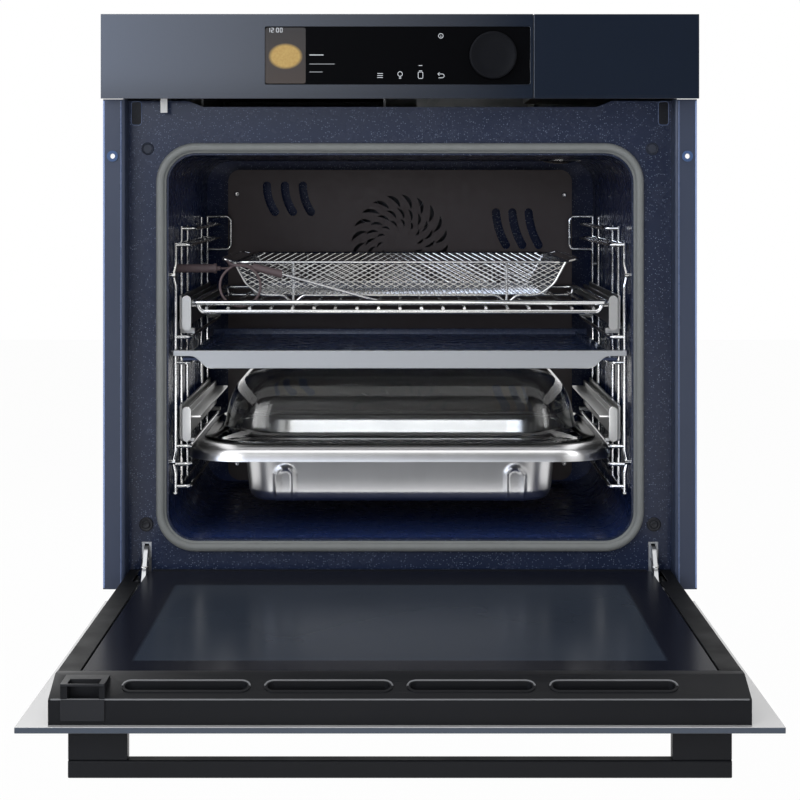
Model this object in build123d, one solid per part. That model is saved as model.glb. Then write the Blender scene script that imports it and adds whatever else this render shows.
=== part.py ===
from build123d import *
import os
from math import cos, pi, radians, sin, tan

# Built-in wall oven for a standard 60 cm niche, drawn with its door open.
# Sizes are in millimetres. X runs to the right, Y into the cabinet, Z up.
# The origin lies on the base, half-way across, in the plane of the cabinet's front.

# Front of the oven
front_width = 595.0
front_height = 595.0
front_reach = 21.0
panel_height = 84.0
panel_door_gap = 4.0
front_glass = 4.0
tank_front_width = 164.5
panel_seam = 0.8

# Body in the niche
body_width = 556.0
body_height = 579.0
body_depth = 545.0
front_base_z = 20.0
base_setback = 30.0
sheet = 1.2
flange_fold = 4.0
flange_sheet = 1.5
recess_depth = 24.0
vent_slot = 6.6
ear_inner_x = 200.0
ear_slant = 15.0
ear_gap = 0.5
cabinet_screw_x = 288.0
cabinet_screw_z = 454.0
screw_bore = 2.6
grommet_radius = 5.5

# Cooking space
cavity_width = 470.0
cavity_height = 389.5
cavity_floor = 66.0
cavity_depth = 430.0
cavity_corner = 28.0
gasket_inset = 2.0
gasket_width = 10.2
gasket_rise = 7.5
back_panel_width = 413.0
back_panel_top = 444.6
back_panel_reach = 37.0
upper_fan_z = 357.0
lower_fan_z = 160.0
fan_radius = 60.0
fan_shaft = 4.0
insulation_wall = 29.0
heater_tube = 3.3
lamp_radius = 24.0
lamp_proud = 4.5

# Clearances
seat_gap = 0.3
slide_gap = 0.4
pin_gap = 0.05
over = 0.01

# Side racks and rails
wire_radius = 2.0
rack_plane = 5.0
guide_reach = 16.0
rack_post_y = (42.0, 99.0, 161.0, 322.0, 398.0)
guide_z = (380.0, 364.0, 269.5, 243.5, 157.6, 139.4, 116.6)
rail_length = 338.0
rail_front = 62.0
rail_height = 36.0
rail_end_width = 9.2
rail_sheet = 2.0
rail_bar = 3.0

# Wire rack, air basket and meat probe
rack_front = 40.0
rack_depth = 362.0
rack_wire = 2.5
cross_wire = 1.6
cross_count = 19
cross_pitch = 22.0
rack_drop = 9.4
basket_width = 346.0
basket_depth = 332.0
basket_height = 35.0
basket_taper = 22.0
basket_front = 61.0
basket_foot = 10.0
basket_wire = 1.5
mesh_wall = 1.2
mesh_pitch = 25.0
probe_y = 51.0
probe_cable_radius = 1.3
probe_loop = 20.9
plug_radius = 4.4
plug_y = 92.0
plug_z = 338.1

# Divider, steam tray and glass lid
divider_width = 462.0
divider_strip = 18.4
divider_front = 30.0
tray_width = 444.0
tray_depth = 356.0
tray_front = 42.0
tray_skirt = 16.0
tub_width = 328.0
tub_depth = 270.0
tub_floor_z = 94.0
tray_corner = 62.0
tub_corner = 40.0
tub_edge = 10.0
lid_width = 414.0
lid_corner = 66.0
lid_rise = 70.0
lid_wall = 4.0

# Door
pivot_y = -3.0
pivot_z = 18.5
door_glass = 5.0
door_bottom_z = 4.0
door_side_gap = 2.8
door_inner_y = 16.0
cover_width = 18.5
cover_wall = 1.5
inner_glass = 4.0
glass_side_gap = 1.5
cap_depth = 35.0
handle_length = 519.0
handle_bar = 14.0
handle_stand = 26.5
handle_drop = 21.5
post_width = 46.5
hinge_x = 257.2
hinge_slot = 10.0
claw_thick = 4.0
hinge_pin = 4.0

# Control panel
display_left = -134.3
display_width = 263.9
display_bottom = 13.9
display_height = 57.7
dial_x = 92.2
dial_radius = 23.5
dial_reach = 10.0
dial_travel = 1.5
switch_x = -237.7
switch_width = 6.8
switch_drop = 13.0

# Places worked out from the sizes above
front_half = front_width / 2
body_half = body_width / 2
front_y = -front_reach
panel_bottom = front_height - panel_height
glass_back = front_y + front_glass
recess_half = body_half - sheet - flange_sheet
frame_y = recess_depth
liner_y = frame_y + sheet
cavity_back = liner_y + cavity_depth
cavity_half = cavity_width / 2
cavity_top = cavity_floor + cavity_height
cavity_mid_z = cavity_floor + cavity_height / 2
frame_top = panel_bottom - vent_slot
back_panel_y = cavity_back - back_panel_reach
insulation_top = cavity_top + sheet + seat_gap + insulation_wall
rack_x = cavity_half - rack_plane
guide_x = rack_x - guide_reach + wire_radius / 2
door_half = recess_half - door_side_gap
door_top = panel_bottom - panel_door_gap
cover_inner = door_half - cover_width
glass_inner_y = front_y + door_glass
tank_left = front_half - tank_front_width
panel_right = tank_left - panel_seam
display_z = panel_bottom + display_bottom
dial_z = display_z + display_height / 2
slot_half = hinge_slot / 2


def block(x0, x1, y0, y1, z0, z1):
    """Rectangular solid between two opposite corners."""
    return Pos((x0 + x1) / 2, (y0 + y1) / 2, (z0 + z1) / 2) * Box(x1 - x0, y1 - y0, z1 - z0)


def facing(outline, y0, y1):
    """Front-view outline in X and Z, carried from depth y0 to depth y1."""
    return extrude(Plane.XZ.offset(-y1) * outline, y1 - y0)


def across(profile, x0, x1):
    """Side-view profile in Y and Z, carried from x0 to x1."""
    return extrude(Plane.YZ.offset(x0) * profile, x1 - x0)


def upright(outline, z0, z1):
    """Plan-view outline in X and Y, carried from z0 to z1."""
    return extrude(Plane.XY.offset(z0) * outline, z1 - z0)


def rod(start, end, radius):
    """Straight round bar between two points."""
    run = Vector(*end) - Vector(*start)
    low = (Align.CENTER, Align.CENTER, Align.MIN)
    return Plane(origin=start, z_dir=run) * Cylinder(radius, run.length, align=low)


def stud(x, z, y0, y1, radius):
    """Round bar along Y between two depths."""
    return rod((x, y0, z), (x, y1, z), radius)


def axle(y, z, x0, x1, radius):
    """Round bar along X between two places."""
    return rod((x0, y, z), (x1, y, z), radius)


def wire(points, radius, bend):
    """Round wire along straight runs joined by bends."""
    path = FilletPolyline(*points, radius=bend)
    return sweep((path ^ 0) * Circle(radius), path=path)


def window(width, height, middle_x, middle_z, corner):
    """Front-view rectangle with rounded corners."""
    return Pos(middle_x, middle_z) * RectangleRounded(width, height, corner)


def cavity_ring(grow):
    """Front-view outline of the cavity's mouth, larger all round by grow."""
    return window(cavity_width + 2 * grow, cavity_height + 2 * grow, 0, cavity_mid_z, cavity_corner + grow)


def rectangle(x0, x1, z0, z1):
    """Flat rectangle between two opposite corners."""
    return Pos((x0 + x1) / 2, (z0 + z1) / 2) * Rectangle(x1 - x0, z1 - z0)


def outline(*points):
    """Closed flat outline with straight sides."""
    return make_face(Polyline(*points, close=True))


def fused(pieces):
    """One solid from pieces that are welded or moulded together."""
    whole = pieces[0]
    return whole.fuse(*pieces[1:]) if len(pieces) > 1 else whole


def both_sides(piece):
    """A left-hand piece and its mirror image on the right."""
    return [piece, mirror(piece, Plane.YZ)]


def opened(piece):
    """Door piece drawn shut, swung down to its open place."""
    return piece.rotate(Axis((0, pivot_y, pivot_z), (1, 0, 0)), 90)


def save(name, *pieces):
    """Write the solids of one named piece of the oven."""
    solids = [solid for piece in pieces for solid in piece.solids()]
    export_step(solids[0] if len(solids) == 1 else Compound(solids), f"parts/{name}.step")


os.makedirs("parts", exist_ok=True)

# Front frame, side flanges and body panels
hinge_slot_low = front_base_z + 13.0
hinge_slot_high = hinge_slot_low + 30.0
ear_top = panel_bottom - ear_gap
left_half = outline(
    (0, front_base_z),
    (-recess_half, front_base_z),
    (-recess_half, ear_top),
    (-ear_inner_x - ear_slant, ear_top),
    (-ear_inner_x, frame_top),
    (0, frame_top),
)
frame_face = left_half + mirror(left_half, Plane.YZ)
frame_face -= cavity_ring(0)
for side in (-1, 1):
    slot_mid = (hinge_slot_low + hinge_slot_high) / 2
    frame_face -= Pos(side * hinge_x, slot_mid) * Rectangle(hinge_slot, hinge_slot_high - hinge_slot_low)
vent_back = base_setback + 30.0
vent_floor = block(-recess_half, recess_half, liner_y, vent_back, frame_top - sheet, frame_top)
save("front_frame", facing(frame_face, frame_y, liner_y) + vent_floor)

fold_radius = 3.0
panel_clear = 0.3
flange_plan = outline(
    (-recess_half, frame_y),
    (-recess_half, -flange_fold),
    (-front_half, -flange_fold),
    (-front_half, 0),
    (-body_half - panel_clear, 0),
    (-body_half - panel_clear, -panel_clear),
    (-recess_half - flange_sheet, -panel_clear),
    (-recess_half - flange_sheet, frame_y),
)
inner_fold = flange_plan.vertices().sort_by_distance((-recess_half, -flange_fold, 0))[0]
flange_plan = fillet(inner_fold, fold_radius)
flange = upright(flange_plan, front_base_z, panel_bottom)
flange -= stud(-cabinet_screw_x, cabinet_screw_z, -flange_fold - 1, 1, grommet_radius)
save("side_flanges", *both_sides(flange))

grommet_lip = 1.6
grommet = stud(-cabinet_screw_x, cabinet_screw_z, -flange_fold - grommet_lip, 0, grommet_radius)
grommet -= stud(-cabinet_screw_x, cabinet_screw_z, -flange_fold - 5, 5, screw_bore)
save("screw_grommets", *both_sides(grommet))

side_profile = outline(
    (0, front_base_z),
    (base_setback, front_base_z),
    (base_setback, 0),
    (body_depth, 0),
    (body_depth, body_height),
    (0, body_height),
)
side_panel = across(side_profile, -body_half, -body_half + sheet)
save("side_panels", *both_sides(side_panel))

inside_half = body_half - sheet
louvre_count = 9
louvre_pitch = 22.0
louvre = (12.0, 70.0)
top_sheet = block(-inside_half, inside_half, 0, body_depth, body_height - sheet, body_height)
for number in range(louvre_count):
    louvre_x = (number - (louvre_count - 1) / 2) * louvre_pitch
    louvre_y = body_depth - 80.0
    top_sheet -= Pos(louvre_x, louvre_y, body_height) * Box(louvre[0], louvre[1], 4 * sheet)
save("top_cover", top_sheet)

gland_x = 200.0
gland_z = 530.0
gland_radius = 9.0
rear_sheet = block(-inside_half, inside_half, body_depth - sheet, body_depth, sheet, body_height - sheet)
rear_face = body_depth - sheet / 2
for number in range(louvre_count):
    louvre_x = (number - (louvre_count - 1) / 2) * louvre_pitch
    for louvre_z in (upper_fan_z, lower_fan_z):
        rear_sheet -= Pos(louvre_x, rear_face, louvre_z) * Box(louvre[0], 4 * sheet, louvre[1])
rear_sheet -= stud(gland_x, gland_z, body_depth - 9, body_depth + 9, gland_radius + seat_gap)
save("rear_cover", rear_sheet)

base_upturn = 24.0
base_sheet = block(-inside_half, inside_half, base_setback, body_depth - sheet, 0, sheet)
base_sheet += block(-inside_half, inside_half, base_setback, base_setback + sheet, sheet, base_upturn)
bead_pitch = 110.0
for number in range(4):
    bead_y = 130.0 + number * bead_pitch
    base_sheet += block(-200, 200, bead_y, bead_y + 24, sheet, 3 * sheet)
save("base_plate", base_sheet)

# Cavity liner, fan panel and seal
shaft_hole = fan_shaft + 1.0
liner_face = cavity_ring(sheet)
liner = facing(liner_face - cavity_ring(0), liner_y, cavity_back)
liner_end = facing(liner_face, cavity_back, cavity_back + sheet)
for fan_z in (upper_fan_z, lower_fan_z):
    liner_end -= stud(0, fan_z, cavity_back - 5, cavity_back + 5, shaft_hole)
save("cavity_liner", liner + liner_end)

back_panel_bottom = cavity_floor + 6.0
back_panel_mid = (back_panel_bottom + back_panel_top) / 2
back_panel_height = back_panel_top - back_panel_bottom
panel_corner = 14.0
core_width = back_panel_width - 2 * sheet
core_height = back_panel_height - 2 * sheet
panel_face = window(back_panel_width, back_panel_height, 0, back_panel_mid, panel_corner)
panel_rim = panel_face - window(core_width, core_height, 0, back_panel_mid, panel_corner - sheet)


def spiral_slot(inner, outer, sweep_angle, width):
    """Curved slot of a fan grille, a lens between two radii that leans round the centre."""
    start = Vector(inner, 0)
    end = Vector(outer * cos(radians(sweep_angle)), outer * sin(radians(sweep_angle)))
    chord = end - start
    middle = (start + end) * 0.5
    across_chord = Vector(-chord.Y, chord.X).normalized()
    hollow = ThreePointArc(start, middle - across_chord * width * 0.3, end)
    crown = ThreePointArc(end, middle - across_chord * width * 1.3, start)
    return make_face([hollow, crown])


# Each ring of slots: inner radius, outer radius, lean in degrees, width, count and turn of its first slot
grille_rings = (
    (42.5, 58.0, 16.0, 4.5, 20, 0.0),
    (29.5, 41.5, 14.0, 3.2, 20, 9.0),
    (20.0, 28.0, 12.0, 2.6, 14, 0.0),
)
grille = Sketch()
for inner, outer, lean, width, count, turn in grille_rings:
    slot = spiral_slot(inner, outer, lean, width)
    for number in range(count):
        grille += Rot(0, 0, turn + number * 360 / count) * slot
slant_width = 10.0
slant_lean = 107.0
slant_bow = 2.5
slant_rows = (-1, 0, 1)
# Each group of leaning slots: middle X, middle Z, pitch and length
slants = (
    (-133.5, 410.0, 21.6, 43.0),
    (141.0, 374.0, 19.6, 51.0),
    (-133.5, 205.0, 21.6, 43.0),
    (141.0, 185.0, 19.6, 51.0),
)


def bowed_slot(length):
    """Leaning slot with round ends and a slight bow, for air that leaves the fan."""
    reach = (length - slant_width) / 2
    spine = ThreePointArc((-reach, 0), (0, slant_bow), (reach, 0))
    return Rot(0, 0, slant_lean) * SlotArc(spine, slant_width)


for fan_z in (upper_fan_z, lower_fan_z):
    panel_face -= Pos(0, fan_z) * grille
for slant_x, slant_z, slant_pitch, slant_length in slants:
    for number in slant_rows:
        panel_face -= Pos(slant_x + number * slant_pitch, slant_z) * bowed_slot(slant_length)
fan_panel = facing(panel_face, back_panel_y, back_panel_y + sheet)
fan_panel += facing(panel_rim, back_panel_y + sheet, cavity_back)
save("back_panel", fan_panel)

seal_inner = cavity_ring(gasket_inset)
seal_outer = cavity_ring(gasket_inset + gasket_width)
seal = facing(seal_outer - seal_inner, frame_y - gasket_rise, frame_y)
gasket_bevel = 3.0
seal = chamfer(seal.faces().sort_by(Axis.Y)[0].edges(), gasket_bevel)
save("door_gasket", seal)

plug_x = 256.0
plug_height = 462.0
plug_disc = 6.3
bumper_x = 257.5
bumper_z = 81.0
bumper_disc = 7.0
frame_plug = stud(-plug_x, plug_height, frame_y - 2, frame_y, plug_disc)
bumper = stud(-bumper_x, bumper_z, frame_y - 3, frame_y, bumper_disc)
bumper += stud(-bumper_x, bumper_z, frame_y - 5, frame_y - 3, bumper_disc * 0.55)
save("front_buffers", *both_sides(frame_plug), *both_sides(bumper))

# Heat: elements, fans, motors, lamp and sensor
ring_radius = 78.0
ring_y = cavity_back - 15.0
rings = []
motors = []
motor_radius = 30.0
motor_back = cavity_back + 62.0
for fan_z in (upper_fan_z, lower_fan_z):
    ring = Pos(0, ring_y, fan_z) * Rot(90, 0, 0) * Torus(ring_radius, heater_tube)
    for leg_x in (-12.0, 12.0):
        leg_z = fan_z + ring_radius
        ring += stud(leg_x, leg_z, ring_y, cavity_back - seat_gap, heater_tube - 0.2)
    rings.append(ring)
    motor = block(-42, 42, cavity_back + sheet, cavity_back + 2 * sheet, fan_z - 20, fan_z + 20)
    motor += stud(0, fan_z, cavity_back + sheet, motor_back - 20, 9)
    motor += stud(0, fan_z, motor_back - 30, motor_back, motor_radius)
    motors.append(motor - stud(0, fan_z, cavity_back, motor_back - 6, fan_shaft + pin_gap))
save("ring_heaters", *rings)
save("fan_motors", *motors)

blade_count = 12
blade = block(26, fan_radius, -20, 0, -0.6, 0.6)
for name, fan_z in (("upper_fan", upper_fan_z), ("lower_fan", lower_fan_z)):
    disc_y = cavity_back - 8.0
    wheel = stud(0, fan_z, disc_y, disc_y + sheet, fan_radius)
    wheel += stud(0, fan_z, disc_y - 14, disc_y, 9)
    wheel += stud(0, fan_z, disc_y, motor_back - 8, fan_shaft)
    turned = [Pos(0, disc_y, fan_z) * Rot(0, n * 360 / blade_count, 0) * blade for n in range(blade_count)]
    save(name, fused([wheel] + turned))

element_half = 165.0
element_rows = (80.0, 150.0, 220.0, 290.0, 360.0)
element_bend = 10.0
element_inset = 20.0


def serpentine(rows, half, level, end_level):
    """Heater tube that runs to and fro, with both ends turned to end_level."""
    short = half - element_inset
    points = [(-short, rows[0], end_level), (-short, rows[0], level)]
    side = 1
    for number, row in enumerate(rows):
        last = number == len(rows) - 1
        points.append((side * (short if last else half), row, level))
        if not last:
            points.append((side * half, rows[number + 1], level))
        side = -side
    points.append((points[-1][0], rows[-1], end_level))
    return points


pocket_depth = 20.0
element_lift = sheet + seat_gap + heater_tube
end_lift = pocket_depth - seat_gap
roof_path = serpentine(element_rows, element_half, cavity_top + element_lift, cavity_top + end_lift)
floor_path = serpentine(element_rows, element_half, cavity_floor - element_lift, cavity_floor - end_lift)
elements = [wire(path, heater_tube, element_bend) for path in (roof_path, floor_path)]
save("heating_elements", *elements)

lamp_x = 185.0
lamp_y = 330.0
lamp_rim = 1.5
lamp_face = lamp_radius - 4.0
lamp_crown = ThreePointArc((-lamp_face, -lamp_rim), (0, -lamp_proud), (lamp_face, -lamp_rim))
lamp_half = make_face([lamp_crown, Line((lamp_face, -lamp_rim), (-lamp_face, -lamp_rim))])
lamp_half += outline((-lamp_radius, 0), (lamp_radius, 0), (lamp_radius, -lamp_rim), (-lamp_radius, -lamp_rim))
lamp_half &= Pos(lamp_radius, 0) * Rectangle(2 * lamp_radius, 4 * lamp_proud)
lamp = revolve(Plane.XZ * lamp_half, Axis.Z)
save("oven_lamp", Pos(lamp_x, lamp_y, cavity_top - seat_gap) * lamp)

sensor_x = 120.0
sensor_z = 300.0
sensor_length = 28.0
sensor_boss = 3.0
sensor = stud(sensor_x, sensor_z, cavity_back - sensor_boss, cavity_back - seat_gap, 9)
sensor += stud(sensor_x, sensor_z, cavity_back - sensor_length, cavity_back - sensor_boss, 2.5)
save("temperature_sensor", sensor)

wool_in = cavity_ring(sheet + seat_gap)
wool_out = cavity_ring(sheet + seat_gap + insulation_wall)
wool_front = 95.0
wool_back = cavity_back + sheet + 26.0
wool = facing(wool_out - wool_in, wool_front, cavity_back + sheet + seat_gap)
wool_cap = facing(wool_out, cavity_back + sheet + seat_gap, wool_back)
for fan_z in (upper_fan_z, lower_fan_z):
    wool_cap -= block(-44, 44, cavity_back, wool_back + 1, fan_z - 40, fan_z + 40)
pocket_half = element_half + 12.0
pocket_back = element_rows[-1] + 15.0
for pocket_low in (cavity_floor - pocket_depth, cavity_top):
    pocket_high = pocket_low + pocket_depth
    wool -= block(-pocket_half, pocket_half, wool_front - 1, pocket_back, pocket_low, pocket_high)
save("insulation", wool + wool_cap)

# Chrome side racks
post_low = guide_z[-1] - 6.0
post_high = (guide_z[1] + 2.0, guide_z[0] + 2.0, guide_z[0] + 2.0, guide_z[0] + 9.0, guide_z[0] + 9.0)
bend = 6.0
wires = []
kink_levels = (141.7, 333.0)
kink_out = 2.6
kink_half = 11.0
front_post = [(-rack_x, rack_post_y[0], post_low)]
for level in kink_levels:
    front_post.append((-rack_x, rack_post_y[0], level - kink_half))
    front_post.append((-rack_x - kink_out, rack_post_y[0], level))
    front_post.append((-rack_x, rack_post_y[0], level + kink_half))
front_post.append((-rack_x, rack_post_y[0], post_high[0]))
wires.append(wire(front_post, wire_radius, 2 * kink_half))
for post_y, top in zip(rack_post_y[1:], post_high[1:]):
    wires.append(rod((-rack_x, post_y, post_low), (-rack_x, post_y, top), wire_radius))
for level in (post_low, guide_z[1]):
    wires.append(stud(-rack_x, level, rack_post_y[0], rack_post_y[-1], wire_radius - 0.15))
for number, level in enumerate(guide_z):
    first = rack_post_y[1] if number == 0 else rack_post_y[0]
    guide = [
        (-rack_x, first, level),
        (-guide_x, first + wire_radius, level),
        (-guide_x, rack_post_y[-1], level),
        (-rack_x, rack_post_y[-1], level),
    ]
    wires.append(wire(guide, wire_radius - 0.05, bend))
stop_reach = 28.0
stop_low = guide_z[1] - 14.0
stop_y = rack_post_y[-1]
stop_loop = [
    (-rack_x, stop_y, post_high[-1]),
    (-rack_x + stop_reach, stop_y, post_high[-1]),
    (-rack_x + stop_reach, stop_y, stop_low),
    (-rack_x, stop_y, stop_low),
]
wires.append(wire(stop_loop, wire_radius - 0.1, bend))
stud_radius = wire_radius + 1.0
for level in kink_levels:
    for post_y in (rack_post_y[0], rack_post_y[-1]):
        wires.append(axle(post_y, level, -cavity_half + seat_gap, -rack_x, stud_radius))
save("side_racks", *both_sides(fused(wires)))

# Telescopic rails: fixed channel, middle link and runner, two pairs
upper_rail_z = guide_z[2] + wire_radius + seat_gap + 4.2
lower_rail_z = guide_z[4] + wire_radius + seat_gap + 2.1
rail_back = rail_front + rail_length
channel_x = rack_x - wire_radius - slide_gap
link_x = channel_x - rail_sheet - slide_gap
runner_x = link_x - rail_bar - slide_gap
rack_rail_x = runner_x - rail_bar
ledge_reach = 14.0
ledge_sheet = 2.0
runner_inset = 4.0
rack_z = upper_rail_z + rail_height - 7.0
channels = []
for rail_z, wire_z in ((upper_rail_z, guide_z[2]), (lower_rail_z, guide_z[4])):
    channel_top = rail_z + rail_height - 1
    channel = block(-channel_x, -channel_x + rail_sheet, rail_front, rail_back, rail_z + 1, channel_top)
    clip_low = wire_z + wire_radius + seat_gap
    for clip_y in (rail_front + 8, rail_back - 20):
        channel += block(-channel_x, -guide_x + wire_radius, clip_y, clip_y + 12, clip_low, rail_z + 1)
    channels += both_sides(channel)
save("rail_bases", *channels)

for name, rail_z in (("upper_rail_links", upper_rail_z), ("lower_rail_links", lower_rail_z)):
    link = block(-link_x, -link_x + rail_bar, rail_front, rail_back, rail_z + 8, rail_z + rail_height - 8)
    save(name, *both_sides(link))

end_x = runner_x - rail_bar / 2 - 1.6
for name, rail_z in (("upper_rail_runners", upper_rail_z), ("lower_rail_runners", lower_rail_z)):
    rail_mid = rail_z + rail_height / 2
    bar_low = rail_z + runner_inset
    bar_high = rail_z + rail_height - runner_inset
    runner = block(-runner_x, -runner_x + rail_bar, rail_front - 14, rail_back, bar_low, bar_high)
    ledge_top = rail_z + rail_height - 7.0 - rack_wire - seat_gap
    ledge_low = ledge_top - ledge_sheet
    ledge_x = -rack_rail_x + ledge_reach
    runner += block(-rack_rail_x, ledge_x, rail_front - 10, rail_back - 10, ledge_low, ledge_top)
    end_plate = Pos(-end_x, rail_mid) * Rot(0, 0, 90) * SlotOverall(rail_height, rail_end_width)
    runner += facing(end_plate, rail_front - 18, rail_front - 14)
    save(name, *both_sides(runner))

# Wire rack on the upper runners
rack_half = end_x - rail_end_width / 2 - rack_wire - slide_gap
rack_back = rack_front + rack_depth
low_z = rack_z - rack_drop
rack_corner = 14.0
rim_path = [
    (-rack_half, rack_front + rack_depth / 2, rack_z),
    (-rack_half, rack_front, rack_z),
    (rack_half, rack_front, rack_z),
    (rack_half, rack_back, rack_z),
    (-rack_half, rack_back, rack_z),
    (-rack_half, rack_front + rack_depth / 2 + over, rack_z),
]
bars = [wire(rim_path, rack_wire, rack_corner)]
low_half = rack_half - 5.0
for bar_y in (rack_front + 2.0, rack_back - 2.0):
    low_bar = [
        (-low_half, bar_y, rack_z),
        (-low_half, bar_y, low_z),
        (low_half, bar_y, low_z),
        (low_half, bar_y, rack_z),
    ]
    bars.append(wire(low_bar, rack_wire - 0.1, 7.0))
cross_z = low_z + rack_wire + cross_wire - 0.6
for number in range(cross_count):
    cross_x = (number - (cross_count - 1) / 2) * cross_pitch
    bars.append(stud(cross_x, cross_z, rack_front + 1.0, rack_back - 1.0, cross_wire))
save("wire_rack", fused(bars))

# Air basket: wire rim, feet and side handles, and a tapered mesh
cross_top = cross_z + cross_wire
mesh_floor = cross_top + basket_foot
rim_z = mesh_floor + basket_height
basket_mid_y = basket_front + basket_depth / 2
basket_half = basket_width / 2
floor_half = basket_half - basket_taper
floor_depth = basket_depth - 2 * basket_taper
mesh_corner = 18.0


def basket_form(inset, low, high):
    """Tapered tub of the basket, drawn in all round by inset."""
    draw = 2 * inset
    corner = mesh_corner - inset
    floor = Pos(0, basket_mid_y, low) * RectangleRounded(2 * floor_half - draw, floor_depth - draw, corner)
    rim = Pos(0, basket_mid_y, high) * RectangleRounded(basket_width - draw, basket_depth - draw, corner)
    return loft([floor, rim])


mesh = basket_form(0, mesh_floor, rim_z) - basket_form(mesh_wall, mesh_floor + mesh_wall, rim_z + over)
diamond_half = (9.0, 5.5)
diamond = outline((-diamond_half[0], 0), (0, -diamond_half[1]), (diamond_half[0], 0), (0, diamond_half[1]))
wall_columns = int(2 * floor_half / mesh_pitch)
side_columns = int(floor_depth / mesh_pitch)
wall_rows = (mesh_floor + basket_height * 0.33, mesh_floor + basket_height * 0.7)
floor_mid = Pos(0, basket_mid_y)
floor_holes = floor_mid * GridLocations(mesh_pitch, mesh_pitch, wall_columns - 1, side_columns - 1) * diamond
mesh -= upright(Sketch() + floor_holes, mesh_floor - 1, mesh_floor + 2 * mesh_wall)
for level in wall_rows:
    wall_holes = Pos(0, level) * GridLocations(mesh_pitch, mesh_pitch, wall_columns, 1) * diamond
    mesh -= facing(Sketch() + wall_holes, basket_front - 1, basket_front + basket_depth + 1)
    side_holes = Pos(basket_mid_y, level) * GridLocations(mesh_pitch, mesh_pitch, side_columns, 1) * diamond
    mesh -= across(Sketch() + side_holes, -basket_half - 1, basket_half + 1)
save("basket_mesh", mesh)

rim_line = basket_half + basket_wire + 0.2
rim_front = basket_front - basket_wire - 0.2
rim_back = basket_front + basket_depth + basket_wire + 0.2
rim_loop = [
    (-rim_line, basket_mid_y, rim_z),
    (-rim_line, rim_front, rim_z),
    (rim_line, rim_front, rim_z),
    (rim_line, rim_back, rim_z),
    (-rim_line, rim_back, rim_z),
    (-rim_line, basket_mid_y + over, rim_z),
]
frame_wires = [wire(rim_loop, basket_wire, 19.0)]
foot_x = 5 * cross_pitch
foot_z = cross_top + seat_gap + basket_wire
hoop_z = mesh_floor + 1.0
hoop_bends = [20.0, 20.0, 10.0, 6.0, 10.0, 10.0, 6.0, 10.0, 20.0, 20.0]
for hoop_y in (rim_front - 0.5, rim_back + 0.5):
    hoop = [
        (-rim_line + 4, hoop_y, rim_z),
        (-floor_half - 8, hoop_y, hoop_z + 12),
        (-floor_half + 8, hoop_y, hoop_z),
        (-foot_x - 10, hoop_y, hoop_z),
        (-foot_x, hoop_y, foot_z),
        (-foot_x + 10, hoop_y, hoop_z),
        (foot_x - 10, hoop_y, hoop_z),
        (foot_x, hoop_y, foot_z),
        (foot_x + 10, hoop_y, hoop_z),
        (floor_half - 8, hoop_y, hoop_z),
        (floor_half + 8, hoop_y, hoop_z + 12),
        (rim_line - 4, hoop_y, rim_z),
    ]
    frame_wires.append(wire(hoop, basket_wire - 0.05, hoop_bends))
    for post_x in (-foot_x, foot_x):
        foot = (post_x, hoop_y, cross_top + seat_gap)
        frame_wires.append(rod(foot, (post_x, hoop_y, rim_z), basket_wire - 0.1))
handle_x = rim_line + 11.0
for side in (-1, 1):
    side_grip = [
        (side * rim_line, rim_front + 24, rim_z),
        (side * handle_x, rim_front + 24, rim_z + 3),
        (side * handle_x, rim_back - 24, rim_z + 3),
        (side * rim_line, rim_back - 24, rim_z),
    ]
    frame_wires.append(wire(side_grip, basket_wire - 0.1, 5.0))
save("basket_frame", fused(frame_wires))

# Meat probe: plug in the wall, looped cable, grip and needle
plug_wall = -cavity_half + seat_gap
plug_ring = -cavity_half + 40.0
plug_tail = -cavity_half + 47.0
plug = axle(plug_y, plug_z, plug_wall, plug_ring, plug_radius)
plug += axle(plug_y, plug_z, plug_ring, plug_ring + 3, plug_radius + 0.8)
plug += axle(plug_y, plug_z, plug_ring + 3, plug_tail, plug_radius * 0.55)
save("probe_plug", plug)

grip_start = (-151.6, probe_y, 341.2)
grip_end = (-120.9, probe_y, 333.5)
tip = (-10.0, probe_y, cross_top + 1.9)
needle_radius = 1.5
grip_line = Vector(*grip_end) - Vector(*grip_start)
collar_start = Vector(*grip_end) - grip_line.normalized() * 5
grip = rod(grip_start, grip_end, 3.9) + rod(tuple(collar_start), grip_end, 4.4)
needle_run = (Vector(*tip) - Vector(*grip_end)).normalized()
needle_start = Vector(*grip_end) + needle_run * seat_gap
needle = rod(tuple(needle_start), tip, needle_radius)
save("probe", grip, needle)

loop_x = -164.0
loop_z = plug_z + 4.6 - probe_loop
loop_corner = probe_loop / cos(radians(22.5))
loop_drift = 0.75
loop_start = probe_y - 7.0
grip_way = grip_line.normalized()
cable_end = Vector(*grip_start) - grip_way * slide_gap
cable_bow = cable_end - grip_way * 9.5
cable_route = [
    (plug_tail + slide_gap, plug_y, plug_z),
    (-181.0, 91.4, 338.2),
    (-176.4, 87.0, 338.7),
    (-175.6, 80.0, 340.4),
    (-177.2, 70.0, 344.6),
    (-178.8, 57.4, 348.2),
]
for number in range(9):
    angle = radians(112.5 - 45 * number)
    drift = loop_start + number * loop_drift
    cable_route.append((loop_x + loop_corner * cos(angle), drift, loop_z + loop_corner * sin(angle)))
cable_route.append(tuple(cable_bow))
cable_route.append(tuple(cable_end))


def cord_radii(route):
    """Largest bend at each inner point that its two runs leave room for."""
    radii = []
    for before, here, after in zip(route, route[1:], route[2:]):
        run_in = Vector(*here) - Vector(*before)
        run_out = Vector(*after) - Vector(*here)
        turn = run_in.get_angle(run_out)
        radii.append(0.45 * min(run_in.length, run_out.length) / tan(radians(turn / 2)))
    return radii


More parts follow.
